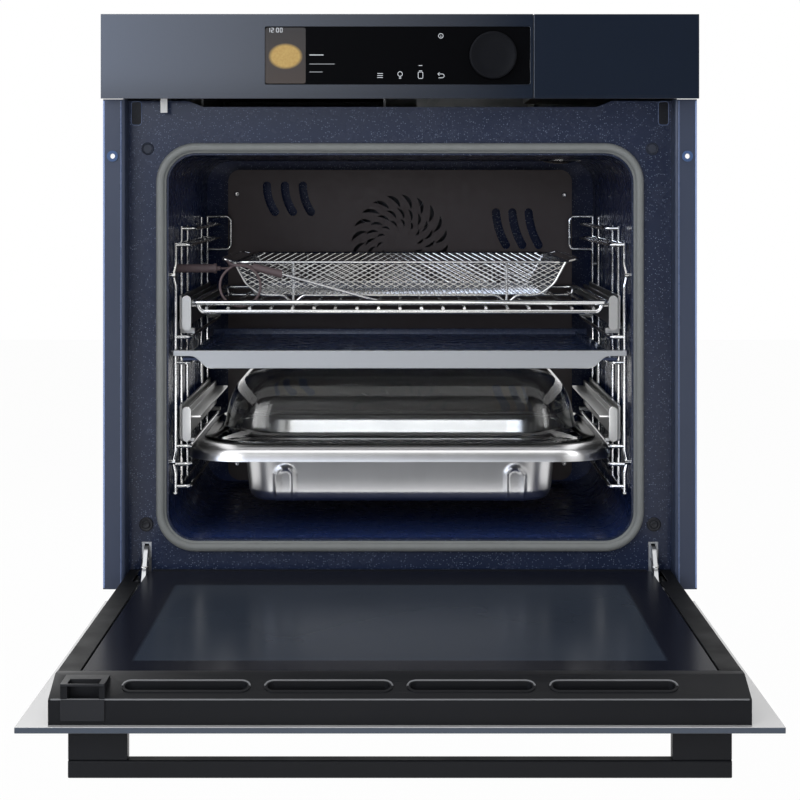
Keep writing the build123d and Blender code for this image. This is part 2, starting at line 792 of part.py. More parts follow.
cable_bends = cord_radii(cable_route)
cable_path = FilletPolyline(*cable_route, radius=cable_bends)
cable = sweep((cable_path ^ 0) * Circle(probe_cable_radius), path=cable_path)
save("probe_cable", cable)
sample_count = 240
apart = 30
samples = [cable_path @ (number / sample_count) for number in range(sample_count + 1)]
loop_gap = min((there - here).length for n, here in enumerate(samples) for there in samples[n + apart :])
print("probe cable radii", [round(radius, 1) for radius in cable_bends])
print("probe cable length", round(cable_path.length, 1))
print("probe cable volume over section", round(cable.volume / (pi * probe_cable_radius**2), 1))
print("probe cable least gap to itself", round(loop_gap - 2 * probe_cable_radius, 2))

# Divider plate with its front strip
divider_half = divider_width / 2
strip_back = divider_front + 8.0
strip_top = guide_z[3] + wire_radius + seat_gap + 10.9
strip_low = strip_top - divider_strip
wing_low = strip_top - 5.8
wing_x = divider_half - 16.0
full_x = divider_half - 40.0
level_way = (1, 0)
wing_middle = ((-wing_x - full_x) / 2, (wing_low + strip_low) / 2)
bottom_curve = Spline((-wing_x, wing_low), wing_middle, (-full_x, strip_low), tangents=[level_way, level_way])
strip_edge = [
    bottom_curve,
    Line((-full_x, strip_low), (0, strip_low)),
    Line((0, strip_low), (0, strip_top)),
    Line((0, strip_top), (-divider_half, strip_top)),
    Line((-divider_half, strip_top), (-divider_half, wing_low)),
    Line((-divider_half, wing_low), (-wing_x, wing_low)),
]
strip_left = make_face(strip_edge)
strip_face = strip_left + mirror(strip_left, Plane.YZ)
save("divider_trim", facing(strip_face, divider_front, strip_back))

plate_half = guide_x + 7.0
plate_back = rack_post_y[-1] - 8.0
plate_low = guide_z[3] + wire_radius + seat_gap
plate_rim = 10.0
plate_top = plate_low + 3.0
bead_inset = 12.0
bead_width = 2.0
bead_top = plate_top + 3.0
divider = block(-plate_half, plate_half, strip_back, plate_back, plate_low, plate_top)
bead_x = -plate_half + bead_inset
bead = block(bead_x, bead_x + bead_width, strip_back, plate_back, plate_top, bead_top)
divider = fused([divider, *both_sides(bead)])
rim_y = plate_back - bead_width
divider += block(-plate_half, plate_half, rim_y, plate_back, plate_top, plate_low + plate_rim)
save("divider_plate", divider)

# Steam tray and its glass lid
tray_mid_y = tray_front + tray_depth / 2
tray_low = guide_z[5] + wire_radius + seat_gap
tray_high = tray_low + tray_skirt
skirt_slope = 15.0
tray_sheet = 1.0


def oblong(width, depth, corner, level):
    """Rounded plan outline of the tray at one level."""
    return Pos(0, tray_mid_y, level) * RectangleRounded(width, depth, corner)


def frustum(low, high):
    """Straight-sided solid between two levelled outlines."""
    return loft([low, high], ruled=True)


seat_width = tray_width - 2 * skirt_slope
seat_depth = tray_depth - 2 * skirt_slope
seat_corner = tray_corner - skirt_slope
skirt_wall = 1.5
rim_flare = 3.0
rim_drop = 6.0
tub_draft = 6.0


def skirt_form(inset, low, high):
    """Sloping outer wall of the tray, drawn in by its thickness for the hollow."""
    foot = oblong(tray_width - 2 * inset, tray_depth - 2 * inset, tray_corner - inset, low)
    seat = oblong(seat_width - 2 * inset, seat_depth - 2 * inset, seat_corner - inset, high)
    return frustum(foot, seat)


def tub_form(grow):
    """Tub with leaning walls and a rounded floor edge, larger or smaller all round by grow."""
    floor_z = tub_floor_z + max(0, -grow)
    narrow = 2 * (grow - tub_draft)
    floor = oblong(tub_width + narrow, tub_depth + narrow, tub_corner - tub_draft + grow, floor_z)
    lip = oblong(tub_width + 2 * grow, tub_depth + 2 * grow, tub_corner + grow, tray_high - rim_drop)
    walls = frustum(floor, lip)
    return fillet(walls.faces().sort_by(Axis.Z)[0].edges(), tub_edge + min(0, grow))


def rim_form(grow, high):
    """Flared rim between the tub and the tray's seat."""
    wide = 2 * (grow + rim_flare)
    lip = oblong(tub_width + 2 * grow, tub_depth + 2 * grow, tub_corner + grow, tray_high - rim_drop)
    rim = oblong(tub_width + wide, tub_depth + wide, tub_corner + rim_flare + grow, high)
    return frustum(lip, rim)


def arch(width, height):
    """Upright outline with a round top, on the tub's floor."""
    shank = height - width / 2
    foot = Pos(0, tub_floor_z + shank / 2) * Rectangle(width, shank)
    return foot + Pos(0, tub_floor_z + shank) * Circle(width / 2)


skirt = skirt_form(0, tray_low, tray_high)
skirt -= skirt_form(skirt_wall, tray_low - over, tray_high - tray_sheet)
mouth = oblong(tub_width + 2 * rim_flare, tub_depth + 2 * rim_flare, tub_corner + rim_flare, 0)
skirt -= upright(mouth, tray_low, tray_high + 1)

rib_x = 120.0
rib_width = 23.0
rib_height = 38.0
rib_ridge = 5.5
rib_rise = 2.0
tub_face = tray_mid_y - tub_depth / 2
rib_reach = 2 * tub_draft
rib_face = arch(rib_width, rib_height) - arch(rib_width - 2 * rib_ridge, rib_height - rib_ridge)
rib_shell = tub_form(rib_rise)
tub = tub_form(0)
for side in (-1, 1):
    tub += facing(Pos(side * rib_x, 0) * rib_face, tub_face - rib_reach, tub_face + rib_reach) & rib_shell
tub += rim_form(tray_sheet / 2, tray_high)
tub -= tub_form(-tray_sheet)
tub -= rim_form(-tray_sheet, tray_high + over)
save("steam_tray", skirt + tub)

lid_depth = tray_depth - 2 * skirt_slope
lid_low = tray_high + seat_gap
lid_flange = 3.5
lid_top = lid_low + lid_flange + lid_rise
lid_brim = 22.0
dome_width = lid_width - 2 * lid_brim
dome_depth = lid_depth - 2 * lid_brim
dome_corner = 60.0
shoulder = 0.72
shoulder_inset = 12.0
crown_inset = 30.0
levels = (lid_low + lid_flange, lid_low + lid_flange + lid_rise * shoulder, lid_top)
dome_corners = (dome_corner, dome_corner - 4.0, dome_corner - 16.0)


def dome(inset, drop):
    """Stacked outlines of the lid's dome, drawn in for the inner face."""
    outlines = []
    for level, draw, corner in zip(levels, (0, shoulder_inset, crown_inset), dome_corners):
        shrink = 2 * (inset + draw)
        outlines.append(oblong(dome_width - shrink, dome_depth - shrink, corner - inset, level - drop))
    return frustum(outlines[0], outlines[1]) + frustum(outlines[1], outlines[2])


lid = upright(oblong(lid_width, lid_depth, lid_corner, 0), lid_low, lid_low + lid_flange) + dome(0, 0)
lid -= dome(lid_wall, lid_wall)
lid_mouth = oblong(dome_width - 2 * lid_wall, dome_depth - 2 * lid_wall, dome_corner - lid_wall, 0)
lid -= upright(lid_mouth, lid_low - 1, lid_low + lid_flange)
save("glass_lid", lid)

# Door, drawn shut and swung down
door_front = rectangle(-front_half, front_half, door_bottom_z, door_top)
save("door_outer_glass", opened(facing(door_front, front_y, glass_inner_y)))

cap_top = door_top - 6.5
cap_ridge = cap_top - cap_depth
cap_low = cap_ridge - 10.0
cover_low = door_bottom_z + 1.0
claw_half = claw_thick / 2
cover = block(-door_half, -cover_inner, glass_inner_y, door_inner_y, cover_low, cap_low - seat_gap)
cover_y0 = glass_inner_y + cover_wall
cover_y1 = door_inner_y - cover_wall
cover -= block(-door_half + cover_wall, -cover_inner + 1, cover_y0, cover_y1, 0, front_height)
slot_top = hinge_slot_high + 7.0
cover -= block(-hinge_x - slot_half, -cover_inner + 1, cover_y0, door_inner_y + 1, 0, slot_top)
save("door_side_covers", *[opened(piece) for piece in both_sides(cover)])

inner_low = door_bottom_z + 12.0
glass_half = cover_inner - glass_side_gap
inner_high = cap_low - seat_gap
pane_front = door_inner_y - inner_glass
inner_pane = block(-glass_half, glass_half, pane_front, door_inner_y, inner_low, inner_high)
save("door_inner_glass", opened(inner_pane))

leg_out = hinge_x + slot_half + 0.2
leg_in = hinge_x - slot_half + 0.6
leg_wall = 2.0
pane_half = leg_in - leg_wall - 2.0
panes = []
for pane_y in (glass_inner_y + 8.0, glass_inner_y + 17.0):
    panes.append(block(-pane_half, pane_half, pane_y, pane_y + inner_glass, inner_low, inner_high))
save("door_middle_glasses", *[opened(pane) for pane in panes])

rail_low = door_bottom_z + 1.0
rail_high = inner_low - seat_gap
rail_wall = 2.0
rail_inner = pane_front - seat_gap
bottom_rail = block(-pane_half, pane_half, glass_inner_y, rail_inner, rail_low, rail_high)
core_front = glass_inner_y + rail_wall
core_back = pane_front - rail_wall
bottom_rail -= block(-pane_half - 1, pane_half + 1, core_front, core_back, 0, inner_low - 2 * rail_wall)
bottom_rail += block(-pane_half, pane_half, rail_inner, door_inner_y, rail_low, rail_high)
save("door_bottom_rail", opened(bottom_rail))

chamfer_y = glass_inner_y + 19.5
cap_profile = outline(
    (glass_inner_y, cap_low),
    (door_inner_y, cap_low),
    (door_inner_y, cap_ridge),
    (chamfer_y, cap_top),
    (glass_inner_y, cap_top),
)
cap = across(cap_profile, -door_half, door_half)
hollow = outline(
    (glass_inner_y + 2, cap_low - 1),
    (door_inner_y - inner_glass - 2, cap_low - 1),
    (door_inner_y - inner_glass - 2, cap_ridge - 2),
    (chamfer_y - 3, cap_top - 3),
    (glass_inner_y + 2, cap_top - 3),
)
cap -= across(hollow, -door_half + 2, door_half - 2)
vent_count = 4
vent_pitch = 111.5
vent_length = 96.0
vent_height = 11.0
vent_lip = 2.2
vent_rise = 1.0
vent_z = cap_ridge + cap_depth * 0.52
lip_band = across(
    outline(
        (door_inner_y - over, cap_ridge),
        (chamfer_y - over, cap_top),
        (chamfer_y + vent_rise, cap_top),
        (door_inner_y + vent_rise, cap_ridge),
    ),
    -door_half,
    door_half,
)
vent_face = SlotOverall(vent_length, vent_height)
for number in range(vent_count):
    vent_x = (number - (vent_count - 1) / 2) * vent_pitch
    cap -= facing(Pos(vent_x, vent_z) * vent_face, 0, door_inner_y + 1)
    lip_ring = SlotOverall(vent_length + 2 * vent_lip, vent_height + 2 * vent_lip) - vent_face
    cap += facing(Pos(vent_x, vent_z) * lip_ring, chamfer_y, door_inner_y) & lip_band
latch_left = switch_x - 25.3
latch_right = switch_x + 9.1
latch_low = cap_top - cap_depth + 4.0
latch = block(latch_left, latch_right, glass_inner_y, door_inner_y, latch_low, cap_top)
pocket_low = cap_top - 16.0
cap += latch
pocket_left = latch_left + 5.3
pocket_right = latch_right - 4.4
cap -= block(pocket_left, pocket_right, chamfer_y - 2, door_inner_y + 1, pocket_low, cap_top + 1)
save("door_top_cap", opened(cap))

bar_z = door_top - handle_drop
bar_y = front_y - handle_stand - handle_bar
handle_half = handle_length / 2
grip_bar = block(-handle_half, handle_half, bar_y, bar_y + handle_bar, bar_z - handle_bar, bar_z)
grip_bar = chamfer(grip_bar.edges().filter_by(Axis.X), 1.0)
save("handle_bar", opened(grip_bar))
post_z = bar_z - handle_bar / 2
post = block(-handle_half, -handle_half + post_width, bar_y + handle_bar, front_y, post_z - 6.0, post_z + 6.0)
save("handle_posts", *[opened(piece) for piece in both_sides(post)])

# Hinges: legs in the door, claws in the body and their lock clips
leg_top = 200.0
leg_back = glass_inner_y + cover_wall
leg_depth = 24.0
leg_low = door_bottom_z + 3.0
leg_front = leg_back + leg_depth
leg = block(-leg_out - leg_wall, -leg_in + leg_wall, leg_back, leg_front, leg_low, leg_top)
leg -= block(-leg_out, -leg_in, leg_back + leg_wall, leg_front + 1, 0, leg_top + 1)
leg += axle(pivot_y, pivot_z, -leg_out - 1, -leg_in + 1, hinge_pin)
save("hinge_legs", *[opened(piece) for piece in both_sides(leg)])

claw_y = frame_y
claw_z = (hinge_slot_low + hinge_slot_high) / 2
claw_ring = 8.0
claw_round = 11.0
claw_back = frame_y + 44.0
clip_y = frame_y - 6.0
clip_z = claw_z - 1.0
clip_wire = 0.8
claw_face = make_hull(
    (Pos(pivot_y, pivot_z) * Circle(claw_ring)).edges() + (Pos(claw_y, claw_z) * Circle(claw_round)).edges()
)
claw_face += rectangle(claw_y, claw_back, claw_z - claw_round, claw_z + claw_round)
claw_face -= Pos(pivot_y, pivot_z) * Circle(hinge_pin + pin_gap)
claw_face -= Pos(clip_y, clip_z) * Circle(clip_wire + pin_gap)
claw = across(claw_face, -hinge_x - claw_half, -hinge_x + claw_half)
keeper_half = claw_half + seat_gap
keeper_side = keeper_half + 4.0
keeper_tall = claw_round + 7.0
keeper_wall = 5.0
keeper_back = claw_back + 4.0
keeper_low = claw_z - keeper_tall
keeper_high = claw_z + keeper_tall
keeper = block(-keeper_side, keeper_side, liner_y, keeper_back, keeper_low, keeper_high)
bore_low = keeper_low + keeper_wall
bore_high = keeper_high - keeper_wall
keeper -= block(-keeper_half, keeper_half, 0, keeper_back + 1, bore_low, bore_high)
keeper = Pos(-hinge_x, 0, 0) * keeper
save("hinge_claws", *both_sides(claw), *both_sides(keeper))

bail_x = claw_half + clip_wire + seat_gap
bail_y = frame_y - 23.0
bail_z = claw_z - 7.0
bail = [
    (-hinge_x - bail_x, clip_y, clip_z),
    (-hinge_x - bail_x, bail_y, bail_z),
    (-hinge_x + bail_x, bail_y, bail_z),
    (-hinge_x + bail_x, clip_y, clip_z),
]
clip = wire(bail, clip_wire, 2.5)
clip += axle(clip_y, clip_z, -hinge_x - bail_x, -hinge_x + bail_x, clip_wire)
save("lock_clip_left", clip)
save("lock_clip_right", mirror(clip, Plane.YZ))

# Control panel: glass, chassis, display, dial and door switch
glass_face = rectangle(-front_half, panel_right, panel_bottom, front_height)
display_mid = (display_left + display_width / 2, display_z + display_height / 2)
display_corner = 1.5
glass_face -= window(display_width, display_height, display_mid[0], display_mid[1], display_corner)
save("panel_glass", facing(glass_face, front_y, glass_back))

chassis_wall = 2.0
chassis_left = -front_half + 2.0
chassis_right = panel_right - 2.0
chassis_low = panel_bottom + 2.0
chassis_high = front_height - 2.0
chassis = block(chassis_left, chassis_right, glass_back, 0, chassis_low, chassis_high)
chassis -= block(
    chassis_left + chassis_wall,
    chassis_right - chassis_wall,
    glass_back - 1,
    -chassis_wall,
    chassis_low + chassis_wall,
    chassis_high - chassis_wall,
)
switch_half = switch_width / 2
pod_half = switch_half + 5.0
pod_back = 16.0
pod_top = chassis_low + 15.0
switch_y = 8.0
switch_pivot = chassis_low + 8.0
switch_pin = 1.5
chassis += block(switch_x - pod_half, switch_x + pod_half, 0, pod_back, chassis_low, pod_top)
pod_room = switch_half + slide_gap
chassis -= block(switch_x - pod_room, switch_x + pod_room, 1, pod_back - 1, chassis_low - 1, pod_top - 1)
pin_left = switch_x - pod_half
pin_right = switch_x + pod_half
chassis -= axle(switch_y, switch_pivot, pin_left - 1, pin_right + 1, switch_pin + pin_gap)
save("panel_chassis", chassis)

switch_low = panel_bottom - switch_drop
lever_half = 2.0
lever_top = switch_pivot + 2 * switch_pin
lever = block(
    switch_x - switch_half,
    switch_x + switch_half,
    switch_y - lever_half,
    switch_y + lever_half,
    switch_low,
    lever_top,
)
lever += axle(switch_y, switch_pivot, pin_left, pin_right, switch_pin)
save("door_switch", lever)

stem_radius = 3.0
dial_gap = 0.5
pane_width = display_width - 2 * seat_gap
pane_height = display_height - 2 * seat_gap
display_glass = window(pane_width, pane_height, display_mid[0], display_mid[1], display_corner)
module_inset = 6.0
module_left = display_left + module_inset
module_right = display_left + display_width - module_inset
module_back = glass_back + 3.0
screen = facing(display_glass, front_y + 0.2, glass_back)
display_top = display_z + display_height
screen += block(module_left, module_right, glass_back, module_back, display_z + 2, display_top - 2)
screen -= stud(dial_x, dial_z, front_y - 1, 0, dial_radius + dial_gap)
board_y = -6.0
board_sheet = 1.6
board_back = board_y + board_sheet
board = block(module_left, module_right, board_y, board_back, display_z, display_top)
encoder = block(dial_x - 8, dial_x + 8, board_y - 6, board_y, dial_z - 8, dial_z + 8)
board -= stud(dial_x, dial_z, front_y, 5, stem_radius + pin_gap)
encoder -= stud(dial_x, dial_z, front_y, 5, stem_radius + pin_gap)
leg_side = 6.0
leg_z = display_z + 2.0
for leg_x in (module_left + 4, module_right - 60):
    screen += block(leg_x, leg_x + leg_side, module_back, board_y, leg_z, leg_z + leg_side)
    board += block(leg_x, leg_x + leg_side, board_back, -chassis_wall, leg_z, leg_z + leg_side)
save("display_module", screen, board + encoder)

knob_back = front_y + 4.0
stem_end = -chassis_wall - dial_travel - 1.5
stem = stud(dial_x, dial_z, front_y - dial_reach + 5, stem_end, stem_radius)
save("dial_stem", stem)
knob = stud(dial_x, dial_z, front_y - dial_reach, knob_back - dial_travel - 1, dial_radius)
knob = chamfer(knob.edges().sort_by(Axis.Y)[0], 1.0)
knob -= stud(dial_x, dial_z, front_y - dial_reach + 4, knob_back + 1, stem_radius + pin_gap)
knob -= stud(dial_x, dial_z, front_y - 1, knob_back + 1, dial_radius - 3)
save("dial_knob", knob)

# Water tank drawer and steam generator
cap_back = -3.0
cap_inset = 3.0
cap_wall = 2.0
core_inset = cap_inset + cap_wall


def tank_face(inset):
    """Front-view outline of the drawer's front, drawn in all round."""
    return rectangle(tank_left + inset, front_half - inset, panel_bottom + inset, front_height - inset)


tank_cap = facing(tank_face(0), front_y, glass_back) + facing(tank_face(cap_inset), glass_back, cap_back)
tank_cap -= facing(tank_face(core_inset), glass_back + cap_wall, cap_back - cap_wall)
save("tank_front", tank_cap)

sleeve_left = tank_left + 4.0
sleeve_right = inside_half - 5.0
sleeve_low = panel_bottom + 5.0
sleeve_high = body_height - sheet - 2.0
sleeve_length = 230.0
sleeve_wall = 1.5
sleeve = block(sleeve_left, sleeve_right, 0, sleeve_length, sleeve_low, sleeve_high)
sleeve -= block(
    sleeve_left + sleeve_wall,
    sleeve_right - sleeve_wall,
    -1,
    sleeve_length - sleeve_wall,
    sleeve_low + sleeve_wall,
    sleeve_high - sleeve_wall,
)
for tab_y in (20.0, sleeve_length - 40):
    sleeve += block(sleeve_right, inside_half, tab_y, tab_y + 20, sleeve_low + 20, sleeve_low + 30)
save("tank_sleeve", sleeve)

tank_gap = 0.6
tank_x0 = sleeve_left + sleeve_wall + tank_gap
tank_x1 = sleeve_right - sleeve_wall - tank_gap
tank_z0 = sleeve_low + sleeve_wall + seat_gap
tank_z1 = sleeve_high - sleeve_wall - 4.0
tank_end = sleeve_length - 12.0
tank_wall = 2.0
tank = block(tank_x0, tank_x1, cap_back, tank_end, tank_z0, tank_z1)
tank_room = 10.0
mouth_inset = 30.0
mouth_y = (20.0, 80.0)
tank -= block(
    tank_x0 + tank_wall,
    tank_x1 - tank_wall,
    tank_room,
    tank_end - tank_wall,
    tank_z0 + tank_wall,
    tank_z1 - tank_wall,
)
tank -= block(tank_x0 + mouth_inset, tank_x1 - mouth_inset, *mouth_y, tank_z1 - 3 * tank_wall, tank_z1 + 1)
save("tank_body", tank)

boiler_low = insulation_top + seat_gap
boiler = block(150, 250, 255, 365, boiler_low, boiler_low + 62)
boiler = fillet(boiler.edges().filter_by(Axis.Z), 12)
boiler += axle(310, boiler_low + 30, 250, 268, 12)
save("steam_generator", boiler)

# Cooling blower with its duct to the vent slot, and the terminal box
blower_y = 300.0
blower_left = -205.0
blower_right = -15.0
scroll = 38.0
blower_z = insulation_top + seat_gap + scroll
duct_front = base_setback + 32.0
duct_low = insulation_top + seat_gap
duct_high = duct_low + 36.0
wall = 2.0
shell = Pos(blower_y, blower_z) * Circle(scroll)
shell += rectangle(duct_front, blower_y, duct_low, duct_high)
core = Pos(blower_y, blower_z) * Circle(scroll - wall)
core += rectangle(duct_front - 1, blower_y, duct_low + wall, duct_high - wall)
housing = across(shell, blower_left, blower_right) - across(core, blower_left + wall, blower_right - wall)
blower_shaft = 3.0
housing += axle(blower_y, blower_z, blower_right, blower_right + 34, 24)
housing -= axle(blower_y, blower_z, blower_left - 1, blower_right + 22, blower_shaft + pin_gap)
save("blower_housing", housing)

drum_radius = 28.0
drum_blades = 14
drum_left = blower_left + wall + 3.0
drum_right = blower_right - wall - 3.0
drum = [axle(blower_y, blower_z, blower_left, blower_right + 20, blower_shaft)]
for disc_x in (drum_left, drum_right - 2):
    drum.append(axle(blower_y, blower_z, disc_x, disc_x + 2, drum_radius))
vane = block(drum_left + 1, drum_right - 1, drum_radius - 9, drum_radius - 0.5, -0.6, 0.6)
for number in range(drum_blades):
    drum.append(Pos(0, blower_y, blower_z) * Rot(number * 360 / drum_blades, 0, 0) * vane)
save("cooling_impeller", fused(drum))

terminal = block(gland_x - 32, gland_x + 32, body_depth - 50, body_depth - sheet, gland_z - 24, gland_z + 24)
terminal += stud(gland_x, gland_z, body_depth - sheet, body_depth + 6, gland_radius)
terminal -= stud(gland_x, gland_z, body_depth - 40, body_depth + 7, 4.5)
save("terminal_box", terminal)
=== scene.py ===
from math import cos, pi, radians, sin

import bmesh
import bpy
from mathutils import Matrix, Vector


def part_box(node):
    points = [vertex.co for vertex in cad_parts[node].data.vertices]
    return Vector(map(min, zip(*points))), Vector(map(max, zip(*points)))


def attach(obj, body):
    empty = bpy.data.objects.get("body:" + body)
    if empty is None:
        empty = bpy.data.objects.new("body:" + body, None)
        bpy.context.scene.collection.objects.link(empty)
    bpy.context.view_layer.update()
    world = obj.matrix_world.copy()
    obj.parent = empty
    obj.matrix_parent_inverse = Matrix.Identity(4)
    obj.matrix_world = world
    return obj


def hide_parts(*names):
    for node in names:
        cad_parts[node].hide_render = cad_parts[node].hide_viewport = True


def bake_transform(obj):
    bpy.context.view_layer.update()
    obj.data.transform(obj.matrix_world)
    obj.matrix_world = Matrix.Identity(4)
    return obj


bl_info = {
    "name": "Built-in oven finishes",
    "version": (1, 0, 0),
    "blender": (4, 5, 0),
    "location": "View3D > Sidebar > Oven",
    "description": "Dresses the solids of a built-in oven with finishes and fine pieces",
    "category": "Object",
}

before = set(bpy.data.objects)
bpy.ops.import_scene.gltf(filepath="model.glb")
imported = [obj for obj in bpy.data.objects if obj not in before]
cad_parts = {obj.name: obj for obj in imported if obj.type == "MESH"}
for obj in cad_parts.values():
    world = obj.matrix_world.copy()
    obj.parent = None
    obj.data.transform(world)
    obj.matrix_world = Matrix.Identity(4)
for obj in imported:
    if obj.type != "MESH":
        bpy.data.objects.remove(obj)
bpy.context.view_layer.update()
MM = 0.001


def colour_property(name, words, default):
    """A colour that the user can change in the sidebar."""
    return bpy.props.FloatVectorProperty(
        name=name, description=words, subtype="COLOR", size=3, min=0.0, max=1.0, default=default
    )


def length_property(name, words, millimetres):
    """A length that the user can change in the sidebar, given in millimetres."""
    return bpy.props.FloatProperty(
        name=name, description=words, unit="LENGTH", min=0.0, default=millimetres * MM
    )


class OvenColours(bpy.types.PropertyGroup):
    """Colours of the oven's finishes."""

    enamel: colour_property("Enamel", "Ground of the front frame and the divider", (0.0115, 0.0180, 0.0430))
    inside: colour_property("Inside", "Ground of the cooking space", (0.0060, 0.0125, 0.0480))
    fleck: colour_property("Enamel flecks", "Pale flecks in the enamel", (0.20, 0.25, 0.36))
    flange: colour_property("Side flanges", "Coated sheet at both sides of the front", (0.026, 0.036, 0.066))
    panel: colour_property("Control panel", "Paint behind the panel's glass", (0.0042, 0.0088, 0.0195))
    fan_panel: colour_property("Fan panel", "Rear panel of the cooking space", (0.036, 0.028, 0.030))
    seal: colour_property("Door seal", "Silicone of the door seal", (0.176, 0.187, 0.188))
    black: colour_property("Mouldings", "Black mouldings of the door", (0.0065, 0.0070, 0.0085))
    door_glass: colour_property("Door glass", "Print on the door's inner glass", (0.007, 0.008, 0.014))
    window: colour_property("Door window", "Clear field in the door's inner glass", (0.026, 0.034, 0.050))
    probe: colour_property("Probe", "Silicone of the probe's plug, grip and cable", (0.085, 0.062, 0.068))
    screen: colour_property("Screen light", "Signs on the display", (0.80, 0.84, 0.90))


class OvenSizes(bpy.types.PropertyGroup):
    """Sizes of the fine pieces."""

    mesh_pitch: length_property("Mesh pitch", "Width of one opening of the basket's mesh", 9.3)
    mesh_strand: length_property("Mesh strand", "Thickness of a strand of the basket's mesh", 0.8)
    seal_width: length_property("Seal width", "Width of the door seal's bead with its lip", 10.2)
    screw_head: length_property("Screw head", "Radius of the casing screws' heads", 3.8)
    icon: length_property("Display sign", "Height of the signs on the display", 7.0)


def math_method(operation, swapped=False):
    """A method that adds one Math node; swapped makes the reflected form."""
    def method(self, other=0.0):
        first, second = (other, self) if swapped else (self, other)
        return self.graph.node("ShaderNodeMath", {"operation": operation}, {0: first, 1: second})
    return method


class Value:
    """An output of a finish's graph. Arithmetic on it adds Math nodes."""

    def __init__(self, graph, socket):
        self.graph = graph
        self.socket = socket

    __add__ = __radd__ = math_method("ADD")
    __sub__, __rsub__ = math_method("SUBTRACT"), math_method("SUBTRACT", True)
    __mul__ = __rmul__ = math_method("MULTIPLY")
    __truediv__, __rtruediv__ = math_method("DIVIDE"), math_method("DIVIDE", True)
    __pow__, __rpow__ = math_method("POWER"), math_method("POWER", True)
    __gt__, __lt__ = math_method("GREATER_THAN"), math_method("LESS_THAN")
    __abs__ = math_method("ABSOLUTE")
    maximum, sine = math_method("MAXIMUM"), math_method("SINE")


class Graph:
    """A node tree with one way to add any node."""

    def __init__(self, tree):
        self.tree = tree

    def node(self, kind, settings=None, sockets=None, out=0):
        """Adds a node, applies its settings first and then fills its sockets."""
        node = self.tree.nodes.new(kind)
        for key, value in (settings or {}).items():
            setattr(node, key, value)
        self.fill(node, sockets or {})
        return Value(self, node.outputs[out])

    def fill(self, node, sockets):
        """Links values that vary and sets the rest on the node's own sockets."""
        for key, value in sockets.items():
            if isinstance(value, Value):
                self.tree.links.new(value.socket, node.inputs[key])
            else:
                node.inputs[key].default_value = value

    def remap(self, value, low, high, to_low=0.0, to_high=1.0):
        """Moves a value from one range to another and clamps it there."""
        return self.node("ShaderNodeMapRange", None, {0: value, 1: low, 2: high, 3: to_low, 4: to_high})

    def mix(self, factor, first, second):
        """Colour between two colours."""
        sockets = {0: factor, 6: colour4(first), 7: colour4(second)}
        return self.node("ShaderNodeMix", {"data_type": "RGBA"}, sockets, 2)

    def split(self, vector):
        """X, Y and Z of a vector."""
        outputs = self.node("ShaderNodeSeparateXYZ", None, {0: vector}).socket.node.outputs
        return [Value(self, output) for output in outputs]


class Finish(Graph):
    """One surface finish, a graph that ends in a Principled shader."""

    def __init__(self, name, **constants):
        self.material = bpy.data.materials.new(name)
        self.material.use_nodes = True
        super().__init__(self.material.node_tree)
        self.shader = self.tree.nodes["Principled BSDF"]
        self.set(**constants)
        self.place = self.node("ShaderNodeTexCoord", out="Object")

    def set(self, **sockets):
        """Fills shader sockets; base_color stands for Base Color."""
        named = {key.replace("_", " ").title().replace("Ior", "IOR"): value for key, value in sockets.items()}
        self.fill(self.shader, {key: colour4(v) if "Color" in key else v for key, v in named.items()})

    def stretched(self, x, y, z):
        """The place on the piece, scaled along each axis."""
        return self.node("ShaderNodeVectorMath", {"operation": "MULTIPLY"}, {0: self.place, 1: (x, y, z)})

    def axes(self):
        """X, Y and Z of the place on the piece, in metres."""
        return self.split(self.place)

    def noise(self, scale, detail=2.0, roughness=0.5, vector=None):
        """Soft cloudy value from 0 to 1."""
        sockets = {"Vector": vector or self.place, "Scale": scale, "Detail": detail, "Roughness": roughness}
        return self.node("ShaderNodeTexNoise", None, sockets)

    def cells(self, scale, out="Distance"):
        """Cell pattern: distance to a cell's point, or a random colour for each cell."""
        return self.node("ShaderNodeTexVoronoi", None, {"Vector": self.place, "Scale": scale}, out)

    def chance(self, scale):
        """A random value from 0 to 1 for each cell."""
        return self.node("ShaderNodeSeparateColor", None, {0: self.cells(scale, "Color")})

    def tone(self, factor, colour, low, high):
        """Base colour between two shades of one colour."""
        self.set(base_color=self.mix(factor, shade(colour, low), shade(colour, high)))

    def dull(self, factor, low, high, gloss, spread):
        """Roughness that grows from gloss by spread while the factor goes from low to high."""
        self.set(roughness=self.remap(factor, low, high, gloss, gloss + spread))

    def bump(self, height, strength, millimetres):
        """Sets the shader's normal from a height."""
        sockets = {"Strength": strength, "Distance": millimetres * MM, "Height": height}
        self.set(normal=self.node("ShaderNodeBump", None, sockets))


def colour4(colour):
    """A colour with its alpha, or a linked value as it is."""
    return colour if isinstance(colour, Value) else (*tuple(colour)[:3], 1.0)


def shade(colour, factor):
    """The same colour, lighter or darker."""
    return tuple(min(1.0, channel * factor) for channel in tuple(colour)[:3])


